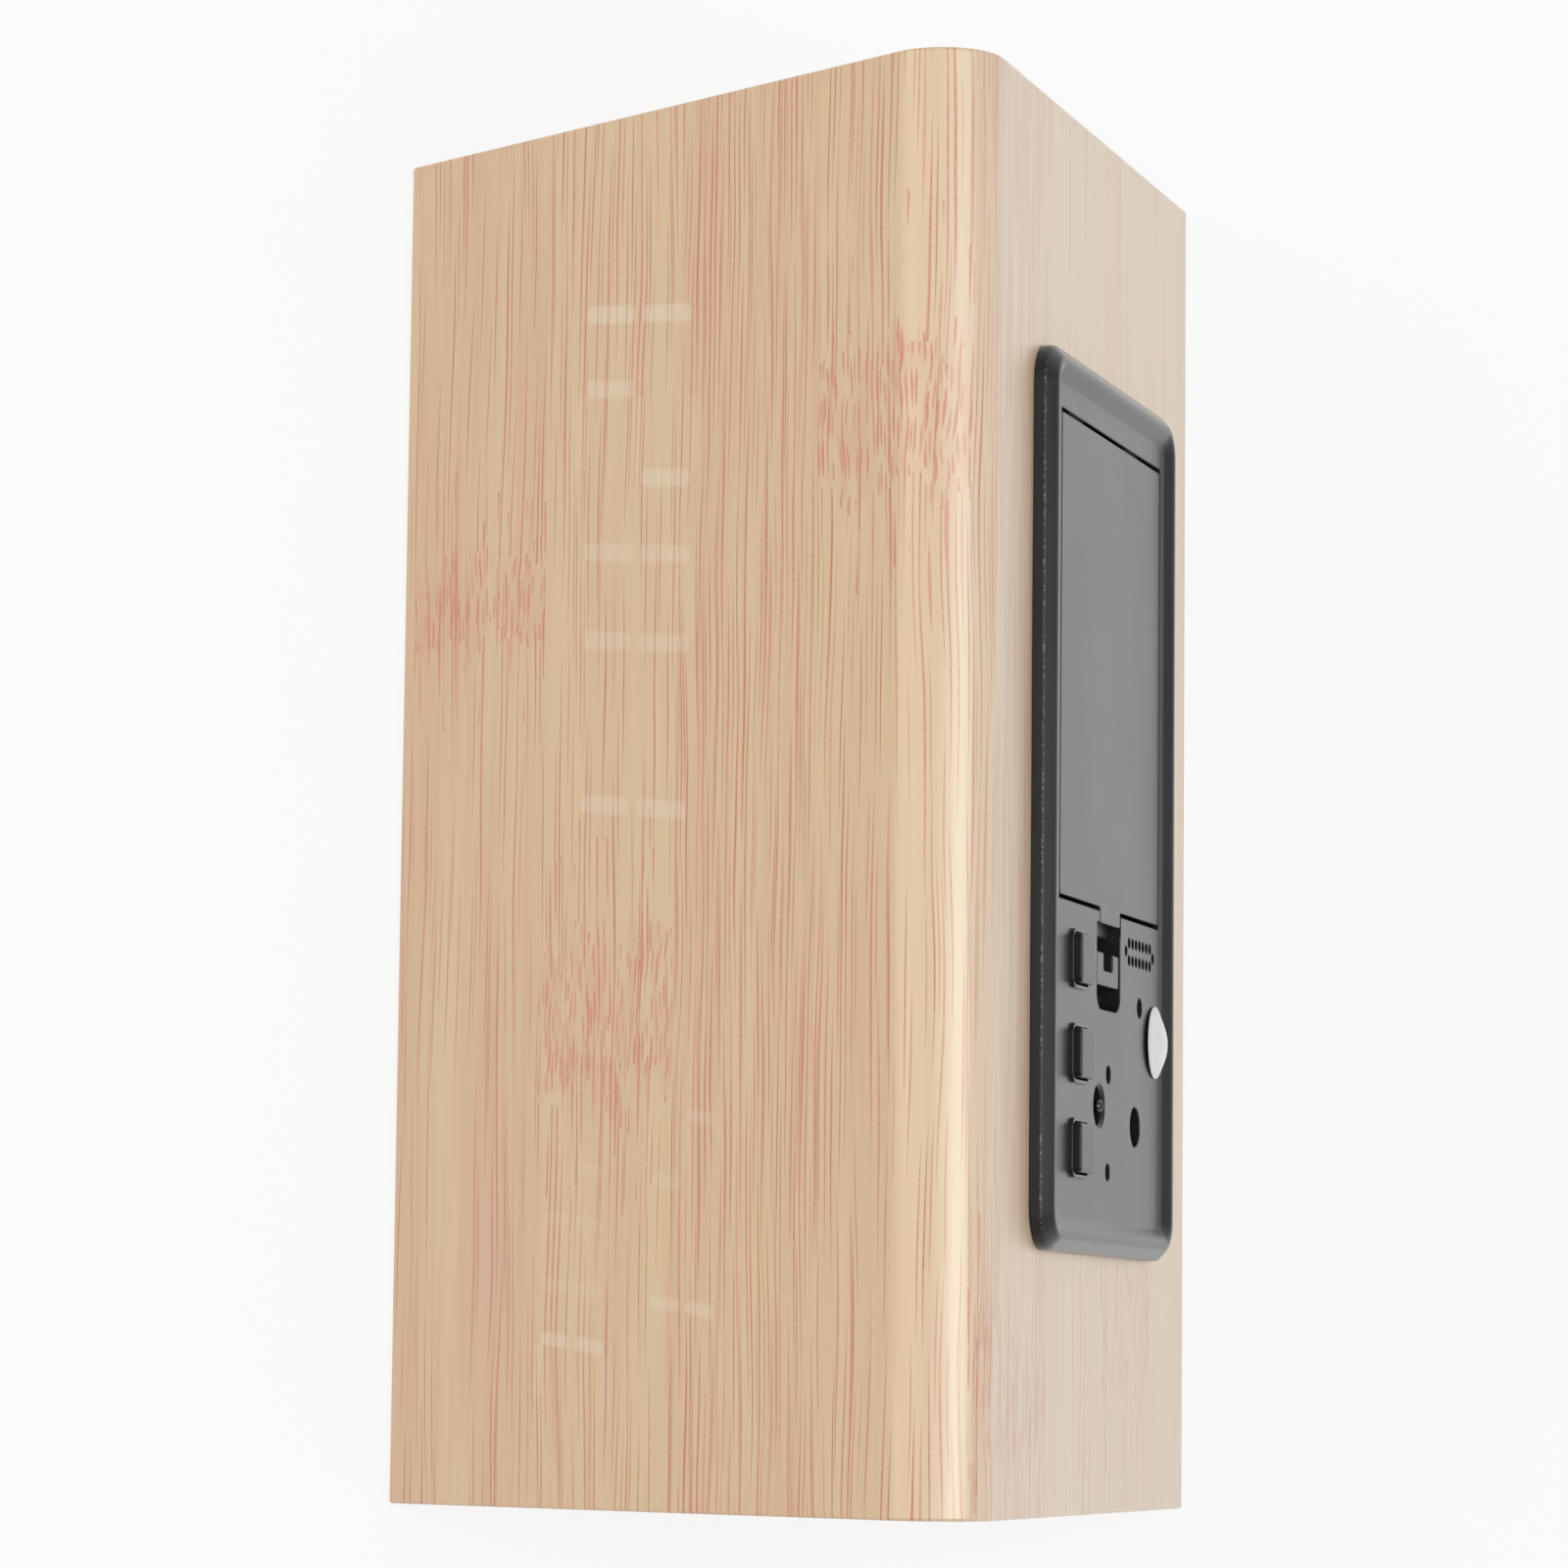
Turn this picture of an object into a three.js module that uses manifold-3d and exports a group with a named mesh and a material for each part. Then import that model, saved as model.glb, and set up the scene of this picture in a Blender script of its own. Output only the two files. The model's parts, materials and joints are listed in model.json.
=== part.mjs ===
// Digital alarm clock: a triangular case wrapped in wood film, light digits behind the film on the
// front, and a moulded battery and button panel on the back.
// Millimetres, +Z up. The clock stands on its base; the origin is the middle of the base.
// X runs along the ridge, the display looks toward -Y and the panel toward +Y.

import * as THREE from 'three';
import { mergeVertices } from 'three/addons/utils/BufferGeometryUtils.js';
import Module from 'manifold-3d';

const wasm = await Module();
wasm.setup();

// Fits
const seatGap = 0.3; // between a piece and what it is seated on or fastened to
const buttonGap = 0.22; // around each button in its collar
const coverEndGap = 0.45; // between the battery cover and the panel, at the ends
const coverSideGap = 0.3; // the same, along the sides
const boreGap = 0.3; // around a screw in its hole
const cutOverrun = 1; // how far a cutting shape runs past the face that it cuts

// Case
const clockLength = 150;
const faceWidth = 91.7; // side of the triangle before its edges are rounded
const ridgeRadius = 6.5;
const baseEdgeRadius = 0.6;
const wallThickness = 5; // board and film together
const filmThickness = 0.4;
const endCapThickness = 5;

// Back panel, in the frame of the back face: x along the clock, y down the slope, z out of the face
const panelFromRidge = faceWidth * 0.554; // from the sharp ridge line to the middle of the panel
const panelShift = -0.2; // along the clock
const panelFloorCorner = 1;
const coverEndMargin = 2.65; // from the panel's floor edge to the compartment, at the hooked end
const coverUpperMargin = 2.775; // the same, toward the ridge
const coverLowerMargin = 1.275; // the same, toward the base
const controlsLength = 32.25; // of the floor beside the compartment
const rimInnerSlope = 1.4;
const rimCrest = 0.8;
const rimBevelWidth = 1.3;
const rimBevelHeight = 1.15;
const rimHeight = 2.4; // above the wood
const floorDepth = 1; // below the rim's crest
const floorThickness = 2;
const flangeOverlap = 2.4; // how far the rim covers the edge of the cut-out
const cutoutCorner = 3;
const skirtDepth = 4.4; // below the wood face
const skirtWall = 2.2;

// Batteries and their compartment
const cellCount = 4;
const cellRadius = 5.25;
const cellLength = 44.5; // with the positive cap
const cellCapRadius = 1.9;
const cellCapHeight = 1;
const cellEdge = 0.6; // rounded shoulder at both ends
const cellPitch = 10.65;
const cellHeadroom = 0.4; // from the cells to the cover
const springCurls = 3.5;
const springWire = 0.7;
const springWideRadius = 3.2;
const springNarrowRadius = 2;
const springLength = 5.3;
const plateThickness = 0.4;
const plateHeight = 8;
const plateMargin = 1.6; // from a contact plate's edge to the edge of its cell
const tailWidth = 2.4;
const tailReach = 0.8; // how far a terminal's tail lies over the main board
const compartmentSideGap = 0.35; // beside the outer cells
const compartmentWall = 1.6;
const latchWall = 1.2; // end wall beside the latch
const compartmentFloor = 1.4;
const dividerWidth = 0.8;
const dividerHeight = 2.4;

// Layout of the panel's floor, worked out from the cells
const rowWidth = (cellCount - 1) * cellPitch + 2 * cellRadius;
const compartmentWidth = rowWidth + 2 * compartmentSideGap;
const plateSpace = plateThickness + seatGap;
const compartmentLength = 2 * plateSpace + cellLength + springLength + 3 * seatGap;
const panelFloorLength = coverEndMargin + compartmentLength + latchWall + controlsLength;
const panelFloorWidth = coverUpperMargin + compartmentWidth + coverLowerMargin;
const compartmentStart = panelShift - panelFloorLength / 2 + coverEndMargin;
const compartmentEnd = compartmentStart + compartmentLength;
const compartmentLow = -panelFloorWidth / 2 + coverUpperMargin;
const compartmentHigh = panelFloorWidth / 2 - coverLowerMargin;
const cellsShift = (compartmentLow + compartmentHigh) / 2;
const controlsStart = compartmentEnd + latchWall;

// Place of a control, in shares of the controls' length and of the panel's width from its middle
const along = (share) => controlsStart + share * controlsLength;
const across = (share) => share * panelFloorWidth;

// Battery cover
const coverStart = compartmentStart + coverEndGap;
const coverThickness = 1.8;
const coverCorner = 0.5;
const tongueReach = 1.7;
const tongueWidth = 8.6;
const tongueShift = 0.8; // down the slope from the panel's middle
const tabWidth = 6;
const tabReach = 2.2;
const tabThickness = 0.8;
const tabSpacing = 24;
const tabSideGap = 0.5;
const tabSweepRoom = 3; // depth kept free below the floor for the tabs as the cover opens

// Latch beside the cover
const pocketLength = 9.3;
const pocketWidth = 10.1;
const pocketShift = 0.15; // down the slope from the panel's middle
const pocketCorner = 2;
const pocketWall = 1.2;
const pocketDepth = 8; // below the panel's floor
const latchStrip = 1; // thickness of the bent strip
const latchDepth = 7.4; // lowest point of the strip, below the panel's floor
const latchWidth = 8;
const latchPadLength = 3.6;
const latchPadEdge = 6.7; // from the end of the tongue to the far side of the pad
const latchPadThickness = 1.2;
const latchPadDrop = 0.1; // below the panel's floor
const latchPadWidth = 9.4;
const latchNotchLength = 1.9;
const latchNotchWidth = 3.8;
const latchNotchShift = 0.4; // down the slope from the panel's middle
const latchNibReach = 0.4;
const latchNibHeight = 0.8;
const latchNibDrop = 2.9; // from the panel's floor to the nib
const fingerRoom = 0.7; // between the pad and the catch wall
const fingerDepth = 2.2; // of the finger recess

// Buttons
const buttonNames = ['set', 'up', 'down'];
const buttonFirst = along(0.147);
const buttonPitch = controlsLength * 0.31;
const buttonRow = across(-0.269);
const buttonLength = 5.2;
const buttonWidth = 5.7;
const buttonCorner = 0.6;
const buttonEdge = 0.25;
const buttonRise = 1.2; // above the panel's floor
const buttonTravel = 0.5;
const buttonLip = 0.8;
const buttonStemRadius = 1.4;
const buttonStemLength = 0.9;
const collarWall = 0.35;
const collarRise = 0.4; // above the panel's floor

// Openings in the panel's floor
const jackX = along(0.614);
const jackY = across(-0.078);
const jackMouthRadius = 2.55;
const jackBoreRadius = 2.15;
const jackCountersink = 1.2;
const jackWall = 0.85;
const jackPinRadius = 0.72;
const jackPinProud = 0.3; // above the panel's floor
const jackBoreFloor = 1; // thickness behind the jack's bore
const microphoneX = along(0.504);
const microphoneY = across(0.006);
const microphoneHole = 1;
const microphoneRadius = 1.6;
const resetX = along(0.83);
const resetY = across(0.002);
const resetHole = 0.95;
const soundX = along(0.253);
const soundY = across(0.294);
const soundHole = 1.1;
const buzzerRadius = 4.7;
const buzzerClearance = 0.6; // from the buzzer's top to the panel
const screwHoleX = along(0.662);
const screwHoleY = across(0.254);
const screwHoleRadius = 2.2;
const screwPostWall = 1.1;
const screwPostFloor = 1.3;
const ventX = along(0.07);
const ventY = across(0.291);
const ventRows = 7;
const ventPitch = 1.55;
const ventColumns = 1.9; // between the two columns
const ventRadius = 0.6;

// Main board and what stands on it
const boardThickness = 1.6;
const boardStart = along(0.02);
const boardEnd = along(0.99);
const boardWidth = panelFloorWidth * 0.945;
const switchSize = 6;
const switchHeight = 3.5;
const plungerRadius = 1.6;
const plungerRise = 0.9;
const plungerSunk = 0.5; // inside the switch at rest
const plungerGap = 0.15;
const wellFloorGap = 0.2; // left under a pressed plunger
const switchWell = plungerSunk + buttonTravel + wellFloorGap;
const resetSize = 4.4;
const resetPlungerRadius = 0.8;
const resetPlungerDrop = 0.6; // from the panel's underside to the plunger's top
const sensorLength = 2.2;
const sensorWidth = 3.6;
const sensorHeight = 3.4;
const sensorShift = -4.5; // from the middle of the vents
const chipLength = 10;
const chipWidth = 7.5;
const chipHeight = 2;
const chipBevel = 0.4;
const chipX = along(0.755);
const chipY = across(-0.17);
const crystalRadius = 1;
const crystalLength = 6;
const crystalX = along(0.383);
const crystalY = across(-0.339);
const boardScrewX = along(0.907);
const boardScrewY = across(0.411);

// Screws
const screwRadius = 1;
const screwHeadRadius = 1.9;
const screwHeadHeight = 1.4;
const screwHeadTaper = 0.8; // flat top of the head, in head radii
const boardScrewLength = 5;
const panelScrewLength = 3.4;
const displayScrewLength = 7;
const bossRadius = 2.4;

// Display, in the frame of the front face: x along the clock, y up the slope, z out of the face
const displayFromRidge = faceWidth * 0.556; // from the sharp ridge line to the display's middle line
const displaySlant = 0.15; // sideways lean of the digits per unit of height
const windowStart = -clockLength / 2 + 9.5;
const windowEnd = clockLength / 2 - 7.5;
const windowLength = windowEnd - windowStart;
const windowHeight = faceWidth * 0.382;
const diffuserThickness = 0.5;
const blockFlange = 1.6;
const blockFlangeReach = 1.8; // past the window's ends
const blockEarReach = 5; // past the window's long sides
const displayScrewInset = 5.3;
const chipLightSize = 0.6;
const chipLightHeight = 0.6;
const timeDigits = 4;
const timeFirst = windowStart + windowLength * 0.0586;
const timePitch = windowLength * 0.1338;
const timeWidth = timePitch * 0.54;
const timeRow = -0.2;
const timeHeight = windowHeight * 0.526;
const timeStroke = 1.9;
const smallDigits = 2;
const smallFirst = windowEnd - windowLength * 0.236;
const smallPitch = windowLength * 0.097;
const smallWidth = smallPitch * 0.55;
const smallHeight = windowHeight * 0.32;
const smallStroke = 1.4;
const smallRows = [windowHeight * 0.257, windowHeight * -0.249]; // humidity above, temperature below
const signX = smallFirst + smallPitch * 1.97; // percent sign and the letter C, after the small digits
const signWidth = smallPitch * 0.434;
const dotSize = 1.8;
const colonSpread = timeHeight / 3;
const degreeX = smallFirst + smallPitch * 1.54;
const degreeY = windowHeight * -0.103;
const ribbonX = along(0.414);
const ribbonWidth = 12;
const ribbonThickness = 1;
const ribbonReach = 16; // how far the ribbon's bend reaches from each board

// Roundness of curves
const arcSteps = 3;
const ridgeSteps = 4;
const roundSides = 16;
const cellSides = 20;
const smallSides = 12;
const ventSides = 8;
const curlSteps = 8;
const wireSides = 5;

// Materials
const finish = (color, roughness, metalness = 0) => ({ color, roughness, metalness });
const woodFilm = finish(0xd3ba96, 0.55);
const fibreboard = finish(0xb08d63, 0.9);
const blackPlastic = finish(0x2f2f33, 0.4);
const blackRubber = finish(0x202022, 0.7);
const circuitGreen = finish(0x2c5f3c, 0.5);
const nickel = finish(0xc9c9c4, 0.3, 1);
const steel = finish(0xa8a8a8, 0.35, 1);
const cellJacket = finish(0x34383c, 0.35, 0.2);
const whitePlastic = finish(0xf0f0ec, 0.5);
const milkyPlastic = finish(0xe6e2d8, 0.4);
const greyRibbon = finish(0x9a9a9a, 0.6);

const clock = new THREE.Group();

// Names a geometry, gives it its own material and adds it to a group.
function addPiece(group, name, geometry, look) {
  const mesh = new THREE.Mesh(geometry, new THREE.MeshStandardMaterial(look));
  mesh.name = name;
  group.add(mesh);
  return mesh;
}

// Closed geometry to solid, so that it can be joined and cut.
function solid(geometry) {
  const bare = geometry.clone();
  bare.deleteAttribute('normal');
  bare.deleteAttribute('uv');
  const merged = mergeVertices(bare);
  const vertProperties = merged.attributes.position.array;
  const triVerts = Uint32Array.from(merged.index.array);
  return new wasm.Manifold(new wasm.Mesh({ numProp: 3, vertProperties, triVerts }));
}

// Solid back to geometry.
function geometryOf(body) {
  const mesh = body.getMesh();
  const geometry = new THREE.BufferGeometry();
  geometry.setAttribute('position', new THREE.BufferAttribute(mesh.vertProperties, 3));
  geometry.setIndex(new THREE.BufferAttribute(mesh.triVerts, 1));
  geometry.computeVertexNormals();
  return geometry;
}

function cutAll(body, cutters) {
  return cutters.reduce((rest, cutter) => rest.subtract(solid(cutter)), body);
}

function joinAll(body, additions) {
  return additions.reduce((whole, addition) => whole.add(solid(addition)), body);
}

function block(xLow, xHigh, yLow, yHigh, zLow, zHigh) {
  const box = new THREE.BoxGeometry(xHigh - xLow, yHigh - yLow, zHigh - zLow);
  return box.translate((xLow + xHigh) / 2, (yLow + yHigh) / 2, (zLow + zHigh) / 2);
}

// Block given by its middle and size across, and its low and high faces.
function pad(x, y, length, width, zLow, zHigh) {
  return block(x - length / 2, x + length / 2, y - width / 2, y + width / 2, zLow, zHigh);
}

// Round rod or cone standing along z.
function rod(x, y, zLow, zHigh, radius, sides = roundSides, topRadius = radius) {
  const cylinder = new THREE.CylinderGeometry(topRadius, radius, zHigh - zLow, sides);
  return cylinder.rotateX(Math.PI / 2).translate(x, y, (zLow + zHigh) / 2);
}

function roundedRectangle(x, y, length, width, radius) {
  const shape = new THREE.Shape();
  const right = x + length / 2 - radius;
  const left = x - length / 2 + radius;
  const top = y + width / 2 - radius;
  const bottom = y - width / 2 + radius;
  shape.absarc(right, bottom, radius, -Math.PI / 2, 0, false);
  shape.absarc(right, top, radius, 0, Math.PI / 2, false);
  shape.absarc(left, top, radius, Math.PI / 2, Math.PI, false);
  shape.absarc(left, bottom, radius, Math.PI, Math.PI * 1.5, false);
  return shape;
}

function prism(shape, zLow, zHigh, curveSegments = arcSteps) {
  const options = { depth: zHigh - zLow, bevelEnabled: false, curveSegments };
  return new THREE.ExtrudeGeometry(shape, options).translate(0, 0, zLow);
}

// Prism whose outline is the shape at both end faces and grows by bevelSize within bevelThickness.
function bevelledPrism(shape, zLow, zHigh, bevelThickness, bevelSize) {
  const depth = zHigh - zLow - 2 * bevelThickness;
  const options = { depth, bevelThickness, bevelSize, bevelSegments: 1, curveSegments: arcSteps };
  return new THREE.ExtrudeGeometry(shape, options).translate(0, 0, zLow + bevelThickness);
}

// Section drawn in (y, z) and extruded along x.
const acrossToLength = new THREE.Matrix4().makeBasis(
  new THREE.Vector3(0, 1, 0),
  new THREE.Vector3(0, 0, 1),
  new THREE.Vector3(1, 0, 0),
);
function alongClock(shape, xLow, xHigh) {
  return prism(shape, xLow, xHigh, ridgeSteps).applyMatrix4(acrossToLength);
}

// Section drawn in (x, z) and extruded along y.
const sideToWidth = new THREE.Matrix4().makeBasis(
  new THREE.Vector3(1, 0, 0),
  new THREE.Vector3(0, 0, 1),
  new THREE.Vector3(0, -1, 0),
);
function acrossPanel(shape, yLow, yHigh) {
  return prism(shape, -yHigh, -yLow).applyMatrix4(sideToWidth);
}

// Case section. The faces lean 60 degrees; the lines below are in (y, z).
const faceLean = Math.PI / 3;
const faceNormalAngle = Math.PI / 2 - faceLean; // of the back face's normal, from +y
const sharpHeight = faceWidth * Math.sin(faceLean);
const ridgeCentre = sharpHeight - 2 * ridgeRadius;
const mitreAngle = -Math.PI / 6; // the base edges' mitre, from +y

// Distance of a point at height z from the middle plane, set in from a side face.
function sideAt(z, inset) {
  return (sharpHeight * Math.cos(faceLean) - inset - z * Math.cos(faceLean)) / Math.sin(faceLean);
}
const baseArcY = sideAt(baseEdgeRadius, baseEdgeRadius);
const innerCornerY = sideAt(wallThickness, wallThickness);
const boardStartX = -clockLength / 2 + endCapThickness;
const boardEndX = clockLength / 2 - endCapThickness;

// Arc about a base edge or the ridge; side is 1 at the back and -1 at the front.
function sideArc(shape, side, y, z, radius, from, to) {
  const turn = (angle) => (side > 0 ? angle : Math.PI - angle);
  shape.absarc(side * y, z, radius, turn(from), turn(to), side > 0 ? to < from : to > from);
}

function sideBoardShape(side) {
  const shape = new THREE.Shape();
  shape.moveTo(0, sharpHeight - 2 * wallThickness);
  shape.lineTo(0, ridgeCentre + ridgeRadius - filmThickness);
  sideArc(shape, side, 0, ridgeCentre, ridgeRadius - filmThickness, Math.PI / 2, faceNormalAngle);
  const edgeRadius = baseEdgeRadius - filmThickness;
  sideArc(shape, side, baseArcY, baseEdgeRadius, edgeRadius, faceNormalAngle, mitreAngle);
  shape.lineTo(side * innerCornerY, wallThickness);
  return shape;
}

function baseBoardShape() {
  const shape = new THREE.Shape();
  sideArc(shape, 1, baseArcY, baseEdgeRadius, baseEdgeRadius, -Math.PI / 2, mitreAngle);
  shape.lineTo(innerCornerY, wallThickness);
  shape.lineTo(-innerCornerY, wallThickness);
  sideArc(shape, -1, baseArcY, baseEdgeRadius, baseEdgeRadius, mitreAngle, -Math.PI / 2);
  return shape;
}

// The part of the outline that the film covers, from the back base edge over the ridge to the front.
function coveredOutline(shape, inset) {
  sideArc(shape, 1, baseArcY, baseEdgeRadius, baseEdgeRadius - inset, mitreAngle, faceNormalAngle);
  sideArc(shape, 1, 0, ridgeCentre, ridgeRadius - inset, faceNormalAngle, Math.PI / 2);
  sideArc(shape, -1, 0, ridgeCentre, ridgeRadius - inset, Math.PI / 2, faceNormalAngle);
  sideArc(shape, -1, baseArcY, baseEdgeRadius, baseEdgeRadius - inset, faceNormalAngle, mitreAngle);
}

function endCapShape() {
  const shape = new THREE.Shape();
  sideArc(shape, 1, baseArcY, baseEdgeRadius, baseEdgeRadius, -Math.PI / 2, mitreAngle);
  coveredOutline(shape, filmThickness);
  sideArc(shape, -1, baseArcY, baseEdgeRadius, baseEdgeRadius, mitreAngle, -Math.PI / 2);
  return shape;
}

function filmShape() {
  const shape = new THREE.Shape();
  coveredOutline(shape, 0);
  sideArc(shape, -1, baseArcY, baseEdgeRadius, baseEdgeRadius - filmThickness, mitreAngle, faceNormalAngle);
  sideArc(shape, -1, 0, ridgeCentre, ridgeRadius - filmThickness, faceNormalAngle, Math.PI / 2);
  sideArc(shape, 1, 0, ridgeCentre, ridgeRadius - filmThickness, Math.PI / 2, faceNormalAngle);
  sideArc(shape, 1, baseArcY, baseEdgeRadius, baseEdgeRadius - filmThickness, faceNormalAngle, mitreAngle);
  return shape;
}

// Frames of the two faces. Their origins lie on the film's outer surface.
function faceGroup(fromRidge, side) {
  const group = new THREE.Group();
  group.rotation.x = -side * faceLean;
  group.position.set(
    0,
    side * fromRidge * Math.cos(faceLean),
    sharpHeight - fromRidge * Math.sin(faceLean),
  );
  group.updateMatrix();
  clock.add(group);
  return group;
}
const backFace = faceGroup(panelFromRidge, 1);
const frontFace = faceGroup(displayFromRidge, -1);

// Panel levels, out of the back face
const floorTop = rimHeight - floorDepth;
const floorUnder = floorTop - floorThickness;
const footLength = panelFloorLength + 2 * (rimInnerSlope + rimCrest + rimBevelWidth);
const footWidth = panelFloorWidth + 2 * (rimInnerSlope + rimCrest + rimBevelWidth);
const cutoutLength = footLength - 2 * flangeOverlap;
const cutoutWidth = footWidth - 2 * flangeOverlap;
const coverUnder = floorTop - coverThickness;
const cellAxis = coverUnder - cellHeadroom - cellRadius;

// Compartment and cover
const compartmentBottom = cellAxis - cellRadius - seatGap;
const coverEnd = compartmentEnd - coverEndGap;
const tongueEnd = coverEnd + tongueReach;

// Latch places along the clock
const pocketStart = controlsStart;
const pocketEnd = tongueEnd + pocketLength;
const padEnd = tongueEnd + latchPadEdge;
const catchWall = padEnd + fingerRoom;
const pocketLow = pocketShift - pocketWidth / 2;
const pocketHigh = pocketShift + pocketWidth / 2;
const tabPlaces = [-1, 1].map((side) => cellsShift + (side * tabSpacing) / 2);

// Main board levels, fixed by the buttons and switches in front of it
const lipTop = floorUnder - seatGap;
const stemEnd = lipTop - buttonLip - buttonStemLength;
const plungerTop = stemEnd - seatGap;
const switchTop = plungerTop - plungerRise;
const boardTop = switchTop - switchHeight - seatGap;
const boardUnder = boardTop - boardThickness;
const standing = boardTop + seatGap; // where a part that stands on the board starts
const buttonPlaces = buttonNames.map((name, index) => ({ name, x: buttonFirst + index * buttonPitch }));
const boardScrewPlaces = [-boardScrewY, boardScrewY];

function buildCase() {
  const panelCut = prism(
    roundedRectangle(panelShift, 0, cutoutLength, cutoutWidth, cutoutCorner),
    -wallThickness - cutOverrun,
    cutOverrun,
  ).applyMatrix4(backFace.matrix);
  const windowMiddle = (windowStart + windowEnd) / 2;
  const windowCut = pad(
    windowMiddle,
    0,
    windowEnd - windowStart,
    windowHeight,
    -wallThickness - cutOverrun,
    -filmThickness + cutOverrun,
  ).applyMatrix4(frontFace.matrix);
  const pilots = displayScrewPlaces().map(({ x, y }) => {
    const bottom = -wallThickness - cutOverrun;
    const hole = rod(x, y, bottom, displayScrewTip + seatGap, screwRadius + boreGap, smallSides);
    return hole.applyMatrix4(frontFace.matrix);
  });

  const sideBoard = (side) => solid(alongClock(sideBoardShape(side), boardStartX, boardEndX));
  const frontBoard = cutAll(sideBoard(-1), [windowCut, ...pilots]);
  const backBoard = cutAll(sideBoard(1), [panelCut]);
  const film = cutAll(solid(alongClock(filmShape(), -clockLength / 2, clockLength / 2)), [panelCut]);
  addPiece(clock, 'wood_wrap', geometryOf(film), woodFilm);
  addPiece(clock, 'front_board', geometryOf(frontBoard), fibreboard);
  addPiece(clock, 'back_board', geometryOf(backBoard), fibreboard);
  addPiece(clock, 'base_board', alongClock(baseBoardShape(), boardStartX, boardEndX), woodFilm);
  addPiece(clock, 'left_end_cap', alongClock(endCapShape(), -clockLength / 2, boardStartX), woodFilm);
  addPiece(clock, 'right_end_cap', alongClock(endCapShape(), boardEndX, clockLength / 2), woodFilm);
}

// Vents: two columns of small holes with one more hole at each end of the gap between them.
function ventPlaces() {
  const places = [];
  for (let row = 0; row < ventRows; row += 1) {
    const y = ventY + (row - (ventRows - 1) / 2) * ventPitch;
    places.push({ x: ventX - ventColumns / 2, y }, { x: ventX + ventColumns / 2, y });
  }
  const endOffset = ((ventRows - 1) / 2) * ventPitch + (ventPitch * Math.sqrt(3)) / 2;
  places.push({ x: ventX, y: ventY - endOffset }, { x: ventX, y: ventY + endOffset });
  return places;
}

// The moulded panel: bevelled rim, recessed floor, skirt, battery compartment, latch pocket,
// button collars, screw posts and every hole in the floor.
function panelBody() {
  const crestOuter = roundedRectangle(
    panelShift,
    0,
    panelFloorLength + 2 * (rimInnerSlope + rimCrest),
    panelFloorWidth + 2 * (rimInnerSlope + rimCrest),
    panelFloorCorner + rimInnerSlope + rimCrest,
  );
  const floorOutline = roundedRectangle(panelShift, 0, panelFloorLength, panelFloorWidth, panelFloorCorner);
  const rimBottom = -rimHeight - rimBevelHeight;
  const rim = bevelledPrism(crestOuter, rimBottom, rimHeight, rimBevelHeight, rimBevelWidth);
  const belowFlange = pad(panelShift, 0, footLength * 2, footWidth * 2, -footWidth, seatGap);
  const recessTop = rimHeight + 2 * floorDepth + cutOverrun;
  const recess = bevelledPrism(floorOutline, floorTop, recessTop, floorDepth, rimInnerSlope);

  const skirtLength = cutoutLength - 2 * seatGap;
  const skirtWidth = cutoutWidth - 2 * seatGap;
  const skirtCorner = cutoutCorner - seatGap;
  const skirt = prism(
    roundedRectangle(panelShift, 0, skirtLength, skirtWidth, skirtCorner),
    -skirtDepth,
    (floorTop + seatGap) / 2,
  );
  const insideSkirt = prism(
    roundedRectangle(
      panelShift,
      0,
      skirtLength - 2 * skirtWall,
      skirtWidth - 2 * skirtWall,
      skirtCorner - skirtWall,
    ),
    -skirtDepth - cutOverrun,
    floorUnder,
  );

  const shell = cutAll(solid(rim), [belowFlange]).add(solid(skirt));
  const tray = cutAll(shell, [recess, insideSkirt]);
  const panel = cutAll(joinAll(tray, panelAdditions()), panelCuts());
  return joinAll(panel, cellDividers());
}

// What is joined to the panel's tray: compartment, pocket walls, posts, bosses and collars.
function panelAdditions() {
  const middleOfFloor = (floorTop + floorUnder) / 2;
  const compartment = block(
    compartmentStart - compartmentWall,
    controlsStart,
    compartmentLow - compartmentWall,
    compartmentHigh + compartmentWall,
    compartmentBottom - compartmentFloor,
    middleOfFloor,
  );
  const pocket = block(
    compartmentEnd,
    pocketEnd + pocketWall,
    pocketLow - pocketWall,
    pocketHigh + pocketWall,
    floorTop - pocketDepth,
    middleOfFloor,
  );
  const post = rod(
    screwHoleX,
    screwHoleY,
    boardTop + seatGap,
    middleOfFloor,
    screwHoleRadius + screwPostWall,
  );
  const bosses = boardScrewPlaces.map((y) => (
    rod(boardScrewX, y, boardTop + seatGap, middleOfFloor, bossRadius, smallSides)
  ));
  const collars = buttonPlaces.map(({ x }) => prism(
    roundedRectangle(
      x,
      buttonRow,
      buttonLength + 2 * (buttonGap + collarWall),
      buttonWidth + 2 * (buttonGap + collarWall),
      buttonCorner + buttonGap + collarWall,
    ),
    middleOfFloor,
    floorTop + collarRise,
    1,
  ));
  return [compartment, pocket, post, ...bosses, ...collars];
}

// Low ribs on the compartment's bottom between the cells, clear of the contacts at both ends.
function cellDividers() {
  return cellPlaces.slice(1).map((y) => block(
    compartmentStart + cellRadius,
    compartmentEnd - cellRadius,
    y - cellPitch / 2 - dividerWidth / 2,
    y - cellPitch / 2 + dividerWidth / 2,
    compartmentBottom - compartmentFloor / 2,
    compartmentBottom + dividerHeight,
  ));
}

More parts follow.
